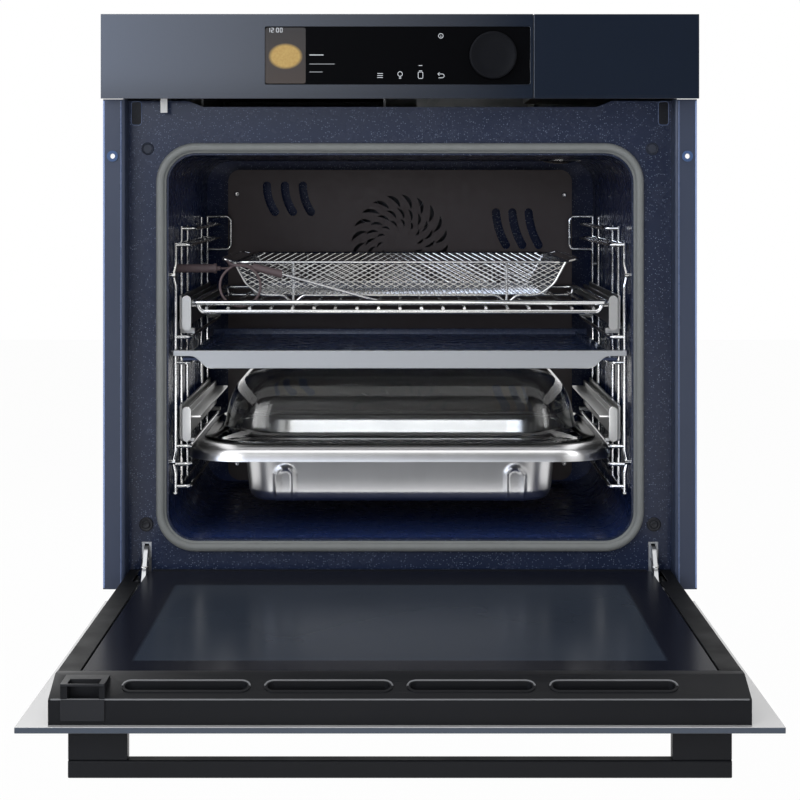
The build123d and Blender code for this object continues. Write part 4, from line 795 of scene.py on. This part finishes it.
class OVEN_OT_front(OvenOperator):
    """Front frame, side flanges, seal, buffers and the hinge claws."""

    bl_idname = "oven.front"
    bl_label = "Front frame"

    seal_corner = 30.0
    seal_bulb = 0.42
    seal_steps = 8
    plug_place = (256.0, 462.0)
    plug_profile = ((0.0, 0.0), (6.3, 0.0), (6.3, 0.8), (5.6, 1.6), (4.9, 1.2), (4.3, 1.9), (0.0, 2.0))
    bumper_place = (257.5, 81.0)
    bumper_profile = (
        (0.0, 0.0), (7.0, 0.0), (7.0, 2.2), (6.2, 3.0), (4.2, 2.7), (3.85, 4.4), (3.15, 5.0), (1.4, 4.8), (0.0, 4.2),
    )
    edge_radius = 0.9
    bead_in = 18.0
    notch_x = 267.5
    notch_width = 10.5
    notch_height = 24.0

    def build(self, scene):
        dark = finish_of("enamel_navy", enamel, self.colours.enamel, self.colours.fleck)
        dress(dark, "front_frame")
        sheet = finish_of("flange_coat", coated_sheet, self.colours.flange)
        eased("flange_folds", "side_flanges", sheet, "oven", 0.3)
        self.bead_flanges()
        dress(finish_of("grommet_blue", moulded, (0.045, 0.085, 0.19), 0.3), "screw_grommets")
        self.bead_seal()
        self.seat_buffers()
        steel = finish_of("hinge_steel", brushed, (0.45, 0.46, 0.47), "z", 0.28)
        dress(steel, "hinge_claws", "hinge_legs")
        dress(finish_of("clip_wire", polished, (0.62, 0.63, 0.64)), "lock_clip_left", "lock_clip_right")

    def bead_flanges(self):
        """Rolled outer edges and pressed beads beside the fold, coloured far lighter than the sheet as painted
        highlights, and a dark plate as painted shade in the notch above it.
        """
        low, high = box_of("side_flanges")
        face = box_of("front_frame")[0].y
        middle = high.z - 1.0 - self.notch_height / 2
        outline = rounded(self.notch_width, self.notch_height, 3.0)
        bright, soft, notch_shade_plates = bmesh.new(), bmesh.new(), bmesh.new()
        for side in (-1, 1):
            for shape, inward, y in ((bright, self.edge_radius, low.y + 0.5), (soft, self.bead_in, low.y)):
                x = side * (high.x - inward)
                add_tube(shape, [(x, y, low.z + 1.5), (x, y, high.z - 1.5)], self.edge_radius, 12)
            x = side * self.notch_x
            add_plate(notch_shade_plates, outline, (x, face + 0.1, middle), 0.4)
            add_tube(soft, [(x + u, face - 0.2, middle + v) for u, v in outline], 0.5, 8, True)
        # Painted highlights: the rolled edges take the flange's colour lightened nine times, the beads and the notch
        # rims 3.2 times.
        lit = finish_of("flange_edge", coated_sheet, shade(self.colours.flange, 9.0), 0.24)
        piece("flange_edges", bright, lit, "oven", angle=40)
        painted_bead_highlight = finish_of("flange_bead", coated_sheet, shade(self.colours.flange, 3.2), 0.24)
        piece("flange_beads", soft, painted_bead_highlight, "oven", angle=40)
        # Painted shade: a nearly black plate stands in for the shade inside each notch.
        dark = finish_of("notch_dark", enamel, shade(self.colours.enamel, 0.12), shade(self.colours.fleck, 0.1), 0.5)
        piece("corner_notch_shade_plates", notch_shade_plates, dark, "oven", angle=30)

    def bead_seal(self):
        """Hollow silicone bead with a flat lip inside and a lip that clips behind the frame's edge."""
        low, high = box_of("door_gasket")
        bead = self.sizes.seal_width / MM
        rise = high.y - low.y
        width = high.x - low.x - 2 * bead
        height = high.z - low.z - 2 * bead
        middle = (0.0, (low.z + high.z) / 2)
        bulb, neck = self.seal_bulb, 1.0 - self.seal_bulb
        profile = [(0.0, 0.0), (0.0, rise * 0.28), (0.7, rise * 0.36)]
        for step in range(self.seal_steps + 1):
            angle = pi * (1.0 - step / self.seal_steps)
            profile.append((bead * (neck + bulb * cos(angle)), rise * (bulb + neck * sin(angle))))
        profile.append((bead, 0.0))
        shape = bmesh.new()
        add_frame(shape, width, height, self.seal_corner, middle, high.y, profile, 14)
        rubber_grey = finish_of("seal_grey", rubber, self.colours.seal, 2600.0)
        piece("seal_bead", shape, rubber_grey, "oven", ["door_gasket"], 50)

    def seat_buffers(self):
        """Pressed plugs in the frame's own colour above, dark stepped bumpers below."""
        seat = box_of("front_buffers")[1].y
        plugs, bumpers = bmesh.new(), bmesh.new()
        for side in (-1, 1):
            for shape, (x, z), profile in (
                (plugs, self.plug_place, self.plug_profile), (bumpers, self.bumper_place, self.bumper_profile)
            ):
                add_turned(shape, profile, (side * x, seat, z), (0, -1, 0), 40)
        blue = finish_of("plug_blue", moulded, (0.022, 0.027, 0.042), 0.45, 1800.0, 0.08)
        dark = finish_of("buffer_dark", rubber, (0.010, 0.011, 0.015))
        piece("frame_plugs", plugs, blue, "oven", ["front_buffers"], 30)
        piece("door_bumpers", bumpers, dark, "oven", angle=30)


class OVEN_OT_cavity(OvenOperator):
    """Cooking space: liner, fan panel, heaters, lamp, sensor and side racks."""

    bl_idname = "oven.cavity"
    bl_label = "Cooking space"

    screw_places = ((-195.8, 415.7), (197.2, 414.5), (-195.8, 92.0), (197.2, 92.0))
    screw_radius = 3.4

    def build(self, scene):
        # Painted light: the last number lifts the floor below 0.07 m to a paler ground, standing in for light on the
        # cavity's floor.
        inside = finish_of("enamel_inside", enamel, self.colours.inside, self.colours.fleck, 0.2, 0.16, 0.03, 0.07)
        dress(inside, "cavity_liner")
        dress(finish_of("fan_panel_brown", coated_sheet, self.colours.fan_panel, 0.42), "back_panel")
        dark = finish_of("heater_dark", brushed, (0.10, 0.095, 0.09), "x", 0.4)
        dress(dark, "ring_heaters", "heating_elements", "temperature_sensor")
        # Painted shade: the fans are coloured nearly black so that the fan panel's slots read dark, as the shade
        # behind the panel.
        dress(finish_of("fan_alloy", brushed, (0.035, 0.036, 0.040), "x", 0.34), "upper_fan", "lower_fan")
        dress(finish_of("lamp_lens", clear_glass, (0.95, 0.95, 0.90), 0.3), "oven_lamp")
        dress(finish_of("rack_chrome", polished, (0.70, 0.71, 0.72)), "side_racks")
        shape = bmesh.new()
        face = box_of("back_panel")[0].y
        for x, z in self.screw_places:
            add_screw(shape, (x, face, z), (0, -1, 0), self.screw_radius)
        piece("fan_panel_screws", shape, finish_of("screw_steel", polished, (0.55, 0.55, 0.56)), "oven")


class OVEN_OT_shelves(OvenOperator):
    """Rails, wire rack and divider."""

    bl_idname = "oven.shelves"
    bl_label = "Rails and shelves"

    rack_wire = 2.5
    rack_return = 16.0
    bar_swell = 1.03

    def build(self, scene):
        rail = finish_of("rail_steel", brushed, (0.42, 0.42, 0.415), "y", 0.3)
        dress(rail, "rail_bases", "upper_rail_links", "lower_rail_links")
        bright = finish_of("runner_steel", brushed, (0.38, 0.38, 0.375), "y", 0.3)
        eased("upper_runner_bars", "upper_rail_runners", bright, "upper_slide", 0.5)
        eased("lower_runner_bars", "lower_rail_runners", bright, "lower_slide", 0.5)
        chrome = finish_of("shelf_chrome", polished, (0.74, 0.75, 0.76), 0.06)
        dress(chrome, "wire_rack")
        self.square_front(chrome)
        strip = finish_of("strip_aluminium", brushed, (0.35, 0.36, 0.375), "x", 0.36)
        eased("divider_strip", "divider_trim", strip, "divider", 0.6)
        # Painted light: the divider's enamel is the frame's ground lightened 2.2 times, standing in for light on its
        # top.
        plate = finish_of("enamel_shelf", enamel, shade(self.colours.enamel, 2.2), self.colours.fleck)
        eased("divider_sheet", "divider_plate", plate, "divider", 0.8)

    def square_front(self, chrome):
        """The rack's front bar runs straight up to the rails and turns back along the rim there."""
        low, high = box_of("wire_rack")
        radius = self.rack_wire
        front, level = low.y + radius, high.z - radius
        bar = []
        for side, end in ((-1, low.x + radius), (1, high.x - radius)):
            turn = [(end, front + self.rack_return, level), (end, front + radius, level)]
            turn.append((end - side * radius, front, level))
            bar += turn[::-side]
        shape = bmesh.new()
        add_tube(shape, bar, radius * self.bar_swell, 14)
        piece("rack_front_bar", shape, chrome, "upper_slide", angle=40)


class OVEN_OT_air_basket(OvenOperator):
    """Air basket: wire frame and a fine expanded mesh."""

    bl_idname = "oven.air_basket"
    bl_label = "Air basket"

    floor_inset = 22.0
    floor_lift = 0.6
    rim_swell = 1.3
    strand_slope = 0.62
    shortest_strand = 2.0

    def build(self, scene):
        chrome = finish_of("basket_chrome", polished, (0.58, 0.585, 0.59), 0.1)
        dress(chrome, "basket_frame")
        low, high = box_of("basket_mesh")
        corners = ((low.x, low.y, 1, 1), (high.x, low.y, -1, 1), (high.x, high.y, -1, -1), (low.x, high.y, 1, -1))
        top, base = [], []
        for x, y, right, back in corners:
            top.append(Vector((x, y, high.z)))
            base.append(Vector((x + right * self.floor_inset, y + back * self.floor_inset, low.z + self.floor_lift)))
        pitch = self.sizes.mesh_pitch / MM
        strand = self.sizes.mesh_strand / MM / 2
        shape = bmesh.new()
        self.weave(shape, base, pitch, strand)
        for side in range(4):
            after = (side + 1) % 4
            self.weave(shape, [base[side], base[after], top[after], top[side]], pitch, strand)
            add_tube(shape, [base[side], top[side]], strand, 6)
            add_tube(shape, [base[side], base[after]], strand, 6)
            add_tube(shape, [top[side], top[after]], strand * self.rim_swell, 6)
        piece("basket_net", shape, chrome, "upper_slide", ["basket_mesh"])

    def weave(self, shape, corners, pitch, strand):
        """Two families of slanting strands across one four-sided panel."""
        right = (corners[1] - corners[0]).normalized()
        up = right.cross(corners[3] - corners[0]).cross(right).normalized()
        flat = [((corner - corners[0]).dot(right), (corner - corners[0]).dot(up)) for corner in corners]
        for slope in (self.strand_slope, -self.strand_slope):
            shifts = [v - slope * u for u, v in flat]
            step = pitch * self.strand_slope
            for number in range(int((max(shifts) - min(shifts)) / step)):
                ends = self.crossings(flat, slope, min(shifts) + (number + 0.5) * step)
                if len(ends) == 2 and (Vector(ends[0]) - Vector(ends[1])).length > self.shortest_strand:
                    add_tube(shape, [corners[0] + right * u + up * v for u, v in ends], strand, 4)

    def crossings(self, flat, slope, shift):
        """Where the line v = slope * u + shift meets the edges of a panel."""
        ends = []
        for (u0, v0), (u1, v1) in zip(flat, flat[1:] + flat[:1]):
            before, after = v0 - slope * u0 - shift, v1 - slope * u1 - shift
            if before * after < 0:
                share = before / (before - after)
                ends.append((u0 + (u1 - u0) * share, v0 + (v1 - v0) * share))
        return ends


class OVEN_OT_probe(OvenOperator):
    """Meat probe: plug, looped cable, grip and needle."""

    bl_idname = "oven.probe"
    bl_label = "Meat probe"

    cable_diameter = 0.0026
    grip_end = -0.1209
    lead = [
        (-0.1876, 0.0920, 0.3381), (-0.1810, 0.0914, 0.3382), (-0.1764, 0.0870, 0.3387),
        (-0.1756, 0.0800, 0.3404), (-0.1772, 0.0700, 0.3446), (-0.1788, 0.0574, 0.3482),
    ]
    loop_middle = (-0.1640, 0.0440, 0.3218)
    loop_radius = 0.02262
    loop_drift = 0.00075
    loop_start = 112.5
    loop_turn = -45.0
    loop_points = 9
    tail = [(-0.1612, 0.0510, 0.3436), (-0.1520, 0.0510, 0.3413)]

    def route(self):
        """The cable's points: lead from the plug, one loop, and the run into the grip."""
        points = list(self.lead)
        x, y, z = self.loop_middle
        for number in range(self.loop_points):
            angle = radians(self.loop_start + self.loop_turn * number)
            across, upward = self.loop_radius * cos(angle), self.loop_radius * sin(angle)
            points.append((x + across, y + self.loop_drift * number, z + upward))
        return points + self.tail

    def grip_and_needle(self):
        """Silicone on the grip and bright steel on the needle, which starts at the grip's end."""
        finish = Finish("probe_two_tone", ior=1.45)
        x, _, _ = finish.axes()
        needle = x > self.grip_end
        marks = finish.noise(60.0, 4.0)
        silicone = finish.mix(marks, shade(self.colours.probe, 0.85), shade(self.colours.probe, 1.15))
        steel = finish.mix(marks, (0.60, 0.60, 0.61), (0.70, 0.70, 0.71))
        finish.set(base_color=finish.mix(needle, silicone, steel), metallic=needle)
        finish.set(roughness=finish.remap(needle, 0.0, 1.0, 0.52, 0.16))
        finish.bump(finish.noise(900.0, 2.0), 0.1, 0.1)
        return finish.material

    def build(self, scene):
        silicone = finish_of("probe_silicone", rubber, self.colours.probe)
        dress(silicone, "probe_plug")
        dress(self.grip_and_needle(), "probe")
        line = bpy.data.curves.new("cable_line", "CURVE")
        line.dimensions = "3D"
        line.resolution_u = 12
        spline = line.splines.new("NURBS")
        points = self.route()
        spline.points.add(len(points) - 1)
        for point, place in zip(spline.points, points):
            point.co = (*place, 1.0)
        spline.order_u = 3
        spline.use_endpoint_u = True
        guide = bpy.data.objects.new("cable_line", line)
        flat = bpy.data.meshes.new_from_object(guide)
        path = [vertex.co.copy() for vertex in flat.vertices]
        bpy.data.objects.remove(guide)
        shape = bmesh.new()
        add_tube(shape, [place / MM for place in path], self.cable_diameter / MM / 2, 12)
        cable = piece("probe_lead", shape, silicone, None, ["probe_cable"], 60)
        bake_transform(cable)


class OVEN_OT_steam_dish(OvenOperator):
    """Pressed steam tray and its domed glass lid."""

    bl_idname = "oven.steam_dish"
    bl_label = "Steam dish"

    sheet = 1.0
    tub_size = (328.0, 270.0)
    tub_corner = 40.0
    tub_draft = 6.0
    tray_corner = 62.0
    skirt_slope = 15.0
    rib_x = 120.0
    rib_radius = 8.6
    rib_half = 3.2
    rib_height = 36.0
    rib_rise = 2.6
    front_steps = 124
    close_steps = 12
    corner_steps = 22
    floor_radius = 9.0
    rim_radius = 6.0
    rim_flare = 4.5
    wall_step = 2.0
    skirt_drop = 16.0
    skirt_curve = 0.8
    lid_wall = 4.0
    lid_brim = 22.0
    lid_corner = 66.0
    lid_flange = 3.5
    lid_mouth = 0.7
    dome_corner = 58.0
    corner_taper = 0.45
    crown_corner = 14.0
    lid_steps = (
        (-0.75, 0.0), (-0.45, 0.025), (-0.22, 0.07), (-0.08, 0.13), (0.0, 0.22), (0.06, 0.34), (0.17, 0.48),
        (0.30, 0.60), (0.52, 0.74), (0.86, 0.85), (1.35, 0.93), (2.0, 0.98), (2.9, 1.0),
    )

    def build(self, scene):
        self.press_tray()
        self.blow_lid()

    def outline(self, size, corner):
        """Rounded outline with close points at both ends of its front run, where the ribs stand."""
        points = rounded(*size, corner, self.corner_steps)
        turn = len(points) * 3 // 4
        start, end = Vector(points[turn - 1]), Vector(points[turn])
        near = [step / self.front_steps for step in range(1, self.close_steps)]
        shares = near + [1.0 - share for share in reversed(near)]
        return points[:turn] + [tuple(start.lerp(end, share)) for share in shares] + points[turn:]

    def loop(self, size, corner, inset, level, bulge=None):
        """One level outline round the dish's middle, drawn in by inset and pushed outward where bulge says."""
        width, depth = (length - 2 * inset for length in size)
        corner -= inset
        points = []
        for u, v in self.outline((width, depth), corner):
            push = bulge(u, level) if bulge and v < 0 else 0.0
            reach = max(abs(u) - width / 2 + corner, 0.0), max(abs(v) - depth / 2 + corner, 0.0)
            out = Vector((reach[0] * (1 if u > 0 else -1), reach[1] * (1 if v > 0 else -1))).normalized() * push
            points.append((u + out.x, self.middle_y + v + out.y, level))
        return points

    def arch_rib(self, x, level):
        """Outward push of the two raised arches pressed into the tub's front."""
        shank = self.rib_height - self.rib_radius
        up = max(level - self.floor - shank, 0.0)
        far = Vector((abs(x) - self.rib_x, up)).length
        near = max(0.0, 1.0 - abs(far - self.rib_radius) / self.rib_half)
        return self.rib_rise * near * near * (3.0 - 2.0 * near)

    def tub_loops(self, skin):
        """Loops from the tub's floor up to its rim; skin is 0 for the inner face and the sheet for the outer one."""
        floor = self.floor + self.sheet - skin
        rim = self.top - self.rim_radius
        steps = []
        for angle in (0, 20, 40, 60, 80):
            inset = self.tub_draft + self.floor_radius * (1.0 - sin(radians(angle)))
            steps.append((inset, floor + self.floor_radius * (1.0 - cos(radians(angle)))))
        level = floor + self.floor_radius + 0.5
        while level < rim:
            steps.append((self.tub_draft * (rim - level) / (rim - floor), level))
            level += self.wall_step
        tub = self.tub_size, self.tub_corner
        loops = [self.loop(*tub, inset - skin, level, self.arch_rib) for inset, level in steps]
        for angle in (0, 30, 60, 90):
            flare = self.rim_flare * (1.0 - cos(radians(angle)))
            loops.append(self.loop(*tub, -flare - skin, rim + (self.rim_radius - skin) * sin(radians(angle))))
        return loops

    def skirt_loops(self, skin):
        """Loops from the seat's edge down the rounded skirt to its rolled lower edge."""
        low = self.top - self.skirt_drop
        loops = []
        for angle in (0, 15, 30, 45, 60, 75, 90):
            inset = self.skirt_slope * (1.0 - sin(radians(angle))) + skin
            level = low + (self.skirt_drop - skin) * cos(radians(angle)) ** self.skirt_curve
            loops.append(self.loop(self.tray_size, self.tray_corner, inset, level))
        return loops

    def press_tray(self):
        """Tub, seat and skirt as one sheet with an inner and an outer face."""
        low, high = box_of("steam_tray")
        self.floor, self.top = low.z, high.z
        self.middle_y = (low.y + high.y) / 2
        self.tray_size = (high.x - low.x, high.y - low.y)
        inner = self.tub_loops(0.0) + self.skirt_loops(0.0)
        outer = self.tub_loops(self.sheet) + self.skirt_loops(self.sheet)
        shape = bmesh.new()
        add_stack(shape, inner + outer[::-1])
        steel = finish_of("tray_stainless", satin, (0.55, 0.55, 0.555), 0.28)
        piece("pressed_tray", shape, steel, "tray", ["steam_tray"], 50)

    def lid_loops(self, skin):
        """Loops from the brim up the dome to its crown; skin is 0 for the outer face."""
        base = self.seat + self.lid_flange
        rise = self.crown - base - skin
        loops = []
        for draw, climb in self.lid_steps:
            inset = self.lid_brim * (1.0 + draw) + skin
            corner = max(self.dome_corner - self.corner_taper * inset, self.crown_corner)
            loops.append(self.loop(self.lid_size, corner + inset, inset, base + rise * climb))
        return loops

    def blow_lid(self):
        """Dome with a rounded brim and an even wall."""
        low, high = box_of("glass_lid")
        self.seat, self.crown = low.z, high.z
        self.middle_y = (low.y + high.y) / 2
        self.lid_size = (high.x - low.x, high.y - low.y)
        radius = self.lid_flange / 2
        brim = []
        for angle in (-90, -60, -30, 0, 30, 60, 90):
            inset = radius * (1.0 - cos(radians(angle)))
            level = self.seat + radius * (1.0 + sin(radians(angle)))
            brim.append(self.loop(self.lid_size, self.lid_corner, inset, level))
        outer = self.lid_loops(0.0)
        inner = self.lid_loops(self.lid_wall)
        mouth = self.loop(self.lid_size, self.lid_corner, self.lid_brim * self.lid_mouth + self.lid_wall, self.seat)
        shape = bmesh.new()
        add_stack(shape, inner[::-1] + [mouth] + brim + outer)
        glass = finish_of("lid_glass", clear_glass, (0.985, 0.995, 0.99), 0.02, 0.05)
        piece("blown_lid", shape, glass, "lid", ["glass_lid"], 60)


class OVEN_OT_door(OvenOperator):
    """Door: three layers of glass, black mouldings and the handle."""

    bl_idname = "oven.door"
    bl_label = "Door"

    window_half = 0.217
    window_middle = -0.2395
    window_reach = 0.165
    cap_edge = 19.5
    cap_depth = 35.0
    cap_bead = 0.7
    vent_count = 4
    vent_pitch = 111.5
    vent_width = 99.6
    vent_height = 14.6
    vent_reach = 16.8
    vent_rise = 0.9
    vent_bead = 0.8
    latch_x = -245.8
    latch_width = 34.4
    latch_bar = 1.9
    latch_sheet = 1.6
    apron_height = 16.6
    apron_middle = 20.6

    def build(self, scene):
        black = finish_of("door_black", moulded, self.colours.black, 0.40, 1400.0, 0.14, 0.12)
        dress(black, "door_bottom_rail")
        eased("top_cap_moulding", "door_top_cap", black, "door", 0.9)
        cover = finish_of("cover_black", moulded, shade(self.colours.black, 0.4), 0.46, 1400.0, 0.14, 0.06)
        eased("side_cover_mouldings", "door_side_covers", cover, "door", 0.8)
        grip = finish_of("handle_black", moulded, shade(self.colours.black, 1.1), 0.34, 2400.0, 0.06, 0.14)
        eased("handle_grip", "handle_bar", grip, "door", 0.7)
        eased("handle_stands", "handle_posts", grip, "door", 0.7)
        self.trim_cap()
        dress(self.printed_glass(), "door_inner_glass")
        dress(finish_of("middle_pane", clear_glass, (0.80, 0.86, 0.88)), "door_middle_glasses")
        eased("outer_pane_cut", "door_outer_glass", self.backed_glass(), "door", 0.5)

    def trim_cap(self):
        """Moulded edge along the cap's front and lips over its four vents, both pale grey as painted highlights, and
        the latch's front, on the open door.
        """
        low, high = box_of("door_top_cap")
        edge = low.z + self.cap_edge
        slope = (high.z - edge) / self.cap_depth
        shape = bmesh.new()
        add_tube(shape, [(x, low.y + 0.5, edge + 0.1) for x in (low.x + 2.0, high.x - 2.0)], self.cap_bead, 10)
        outline = rounded(self.vent_width, self.vent_height, self.vent_height / 2 - 0.2, 8)
        lips = bmesh.new()
        for number in range(self.vent_count):
            x = (number - (self.vent_count - 1) / 2) * self.vent_pitch
            rim = []
            for u, v in outline[:len(outline) // 2]:
                reach = self.vent_reach + v
                rim.append((x + u, low.y + reach, edge + slope * reach + self.vent_rise))
            add_tube(lips, rim, self.vent_bead, 8)
        # Painted highlights: the edge bead and the vent lips are pale grey so that they read as lit edges on the black
        # moulding.
        pale = finish_of("cap_edge_grey", moulded, (0.13, 0.135, 0.145), 0.3, 1400.0, 0.06)
        piece("cap_edge", shape, pale, "door", angle=40)
        grey = finish_of("vent_lip_grey", moulded, (0.15, 0.155, 0.165), 0.3, 1400.0, 0.06)
        piece("vent_lips", lips, grey, "door", angle=40)
        latch = bmesh.new()
        for height, drop, corner in (
            (self.apron_height, self.apron_middle, 0.8), (self.latch_bar, self.latch_bar / 2, 0.6)
        ):
            outline = rounded(self.latch_width, height, corner, 3)
            add_plate(latch, outline, (self.latch_x, low.y + 0.3, high.z - drop), self.latch_sheet)
        lid = finish_of("latch_black", moulded, shade(self.colours.black, 1.7), 0.36, 1400.0, 0.14, 0.2)
        piece("latch_front", latch, lid, "door", angle=30, bevel=0.4)

    def backed_glass(self):
        """Outer pane: blue in its body, with pale grey painted on the face that meets the door's inside as a painted
        reflection.
        """
        finish = Finish("outer_pane", specular_ior_level=0.2, coat_weight=1.0, coat_roughness=0.02)
        _, _, z = finish.axes()
        face, level = (corner.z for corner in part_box("door_outer_glass"))
        inner_face_reflection_mask = finish.remap(z, level - 0.0006, level - 0.0002)
        fronted = finish.remap(z, face + 0.0002, face + 0.0006, 1.0, 0.0)
        drift = finish.noise(6.0, 3.0)
        blue = finish.mix(drift, (0.019, 0.030, 0.050), (0.026, 0.042, 0.070))
        blue = finish.mix(fronted, blue, shade(self.colours.panel, 1.3))
        # Painted reflection: the inner face is pale grey, standing in for the white surroundings mirrored in it.
        pale = finish.mix(drift, (0.46, 0.46, 0.47), (0.54, 0.54, 0.55))
        finish.set(base_color=finish.mix(inner_face_reflection_mask, blue, pale))
        finish.dull(drift, 0.3, 0.7, 0.28, 0.08)
        return finish.material

    def printed_glass(self):
        """Dark glass with a paler window between printed borders."""
        finish = Finish("inner_pane", ior=1.5, specular_ior_level=0.013)
        x, y, _ = finish.axes()
        edge = (abs(x) - self.window_half).maximum(abs(y - self.window_middle) - self.window_reach)
        window = finish.remap(edge, -0.0015, 0.0015, 1.0, 0.0)
        haze = finish.noise(7.0, 3.0)
        pane = finish.mix(haze, shade(self.colours.window, 0.85), shade(self.colours.window, 1.15))
        finish.set(base_color=finish.mix(window, self.colours.door_glass, pane))
        finish.dull(haze, 0.3, 0.7, 0.20, 0.04)
        return finish.material


class OVEN_OT_casing(OvenOperator):
    """Sheet-metal casing behind the front, with its screws."""

    bl_idname = "oven.casing"
    bl_label = "Casing"

    bead_count = 4
    bead_width = 20.0
    bead_height = 1.2
    bead_margin = 70.0
    louvre_count = 9
    louvre_pitch = 22.0
    louvre_width = 12.0
    louvre_length = 70.0
    louvre_levels = (160.0, 357.0)
    louvre_back = 80.0
    louvre_bead = 0.8
    screw_parts = (-0.42, -0.14, 0.14, 0.42)
    screw_spread = 1.08
    screw_inset = 14.0
    side_screws = (24.0, 12.0)
    top_screws = (60.0, 14.0)
    lowest_screw = 45.0

    def build(self, scene):
        sheet = finish_of("casing_zinc", zinc, 0.52)
        dress(sheet, "base_plate")
        for node in ("side_panels", "top_cover", "rear_cover"):
            eased(node + "_sheet", node, sheet, "oven", 0.4)
        self.press_beads(sheet)
        self.rim_louvres(sheet)
        self.drive_screws()
        dress(finish_of("terminal_black", moulded, (0.012, 0.012, 0.013), 0.5), "terminal_box")
        dress(finish_of("mineral_wool", fibre, (0.52, 0.46, 0.30)), "insulation")

    def press_beads(self, sheet):
        """Long stiffening beads, pressed outwards in both side panels."""
        low, high = box_of("side_panels")
        length = high.y - low.y - 2 * self.bead_margin
        middle = (low.y + high.y) / 2
        outline = rounded(length, self.bead_width, self.bead_width / 2 - 0.1, 10)
        shape = bmesh.new()
        for side in (-1, 1):
            for number in range(self.bead_count):
                z = low.z + (high.z - low.z) * (number + 1) / (self.bead_count + 1)
                place = (side * (high.x - 0.1), middle, z)
                add_plate(shape, outline, place, self.bead_height, (0, side, 0))
        piece("side_beads", shape, sheet, "oven", angle=30, bevel=0.9)

    def rim_louvres(self, sheet):
        """Turned-out rims round the cooling slots in the top and rear covers."""
        rear = box_of("rear_cover")[1].y
        top = box_of("top_cover")[1].z
        slot = rounded(self.louvre_width + self.louvre_bead, self.louvre_length + self.louvre_bead, 1.6, 4)
        shape = bmesh.new()
        for number in range(self.louvre_count):
            x = (number - (self.louvre_count - 1) / 2) * self.louvre_pitch
            rims = [[(x + u, rear + 0.2, z + v) for u, v in slot] for z in self.louvre_levels]
            rims.append([(x + u, rear - self.louvre_back + v, top + 0.2) for u, v in slot])
            for rim in rims:
                add_tube(shape, rim, self.louvre_bead, 8, True)
        piece("louvre_rims", shape, sheet, "oven", angle=40)

    def drive_screws(self):
        """Sheet-metal screws along the edges of the side panels, the top and the rear cover."""
        low, high = box_of("side_panels")
        radius = self.sizes.screw_head / MM
        shape = bmesh.new()
        for part in self.screw_parts:
            z = (low.z + high.z) / 2 + part * (high.z - low.z)
            x = part * (high.x - low.x) * self.screw_spread
            for side in (-1, 1):
                for y in (low.y + self.side_screws[0], high.y - self.side_screws[1]):
                    add_screw(shape, (side * high.x, y, max(z, low.z + self.lowest_screw)), (side, 0, 0), radius)
                add_screw(shape, (side * (high.x - self.screw_inset), high.y, z), (0, 1, 0), radius)
            for y in (low.y + self.top_screws[0], high.y - self.top_screws[1]):
                add_screw(shape, (x, y, high.z), (0, 0, 1), radius)
            for z in (low.z + self.screw_inset, high.z - self.screw_inset):
                add_screw(shape, (x, high.y, z), (0, 1, 0), radius)
        steel = finish_of("screw_zinc", polished, (0.52, 0.53, 0.55), 0.16)
        piece("casing_screws", shape, steel, "oven", angle=30)


class OVEN_OT_inner_works(OvenOperator):
    """Motors, cooling blower and steam generator inside the casing."""

    bl_idname = "oven.inner_works"
    bl_label = "Inner works"

    def build(self, scene):
        dress(finish_of("motor_zinc", zinc, 0.42), "fan_motors", "blower_housing", "steam_generator")
        dress(finish_of("impeller_alloy", brushed, (0.48, 0.49, 0.50), "x", 0.34), "cooling_impeller")


class OVEN_PT_finishes(bpy.types.Panel):
    """Sidebar list of the oven's colours, sizes and groups of pieces."""

    bl_idname = "OVEN_PT_finishes"
    bl_label = "Oven finishes"
    bl_space_type = "VIEW_3D"
    bl_region_type = "UI"
    bl_category = "Oven"

    def draw(self, context):
        for group in (context.scene.oven_colours, context.scene.oven_sizes):
            for name in group.__annotations__:
                self.layout.prop(group, name)
        for operator in OPERATORS:
            self.layout.operator(operator.bl_idname)


OPERATORS = (
    OVEN_OT_stage, OVEN_OT_probe, OVEN_OT_control_panel, OVEN_OT_front, OVEN_OT_cavity, OVEN_OT_shelves,
    OVEN_OT_air_basket, OVEN_OT_steam_dish, OVEN_OT_door, OVEN_OT_casing, OVEN_OT_inner_works,
)
CLASSES = (OvenColours, OvenSizes, *OPERATORS, OVEN_PT_finishes)


def register():
    for kind in CLASSES:
        bpy.utils.register_class(kind)
    bpy.types.Scene.oven_colours = bpy.props.PointerProperty(type=OvenColours)
    bpy.types.Scene.oven_sizes = bpy.props.PointerProperty(type=OvenSizes)


def unregister():
    del bpy.types.Scene.oven_sizes
    del bpy.types.Scene.oven_colours
    for kind in reversed(CLASSES):
        bpy.utils.unregister_class(kind)


def main():
    register()
    for operator in OPERATORS:
        family, name = operator.bl_idname.split(".")
        getattr(getattr(bpy.ops, family), name)()


if __name__ == "__main__":
    main()
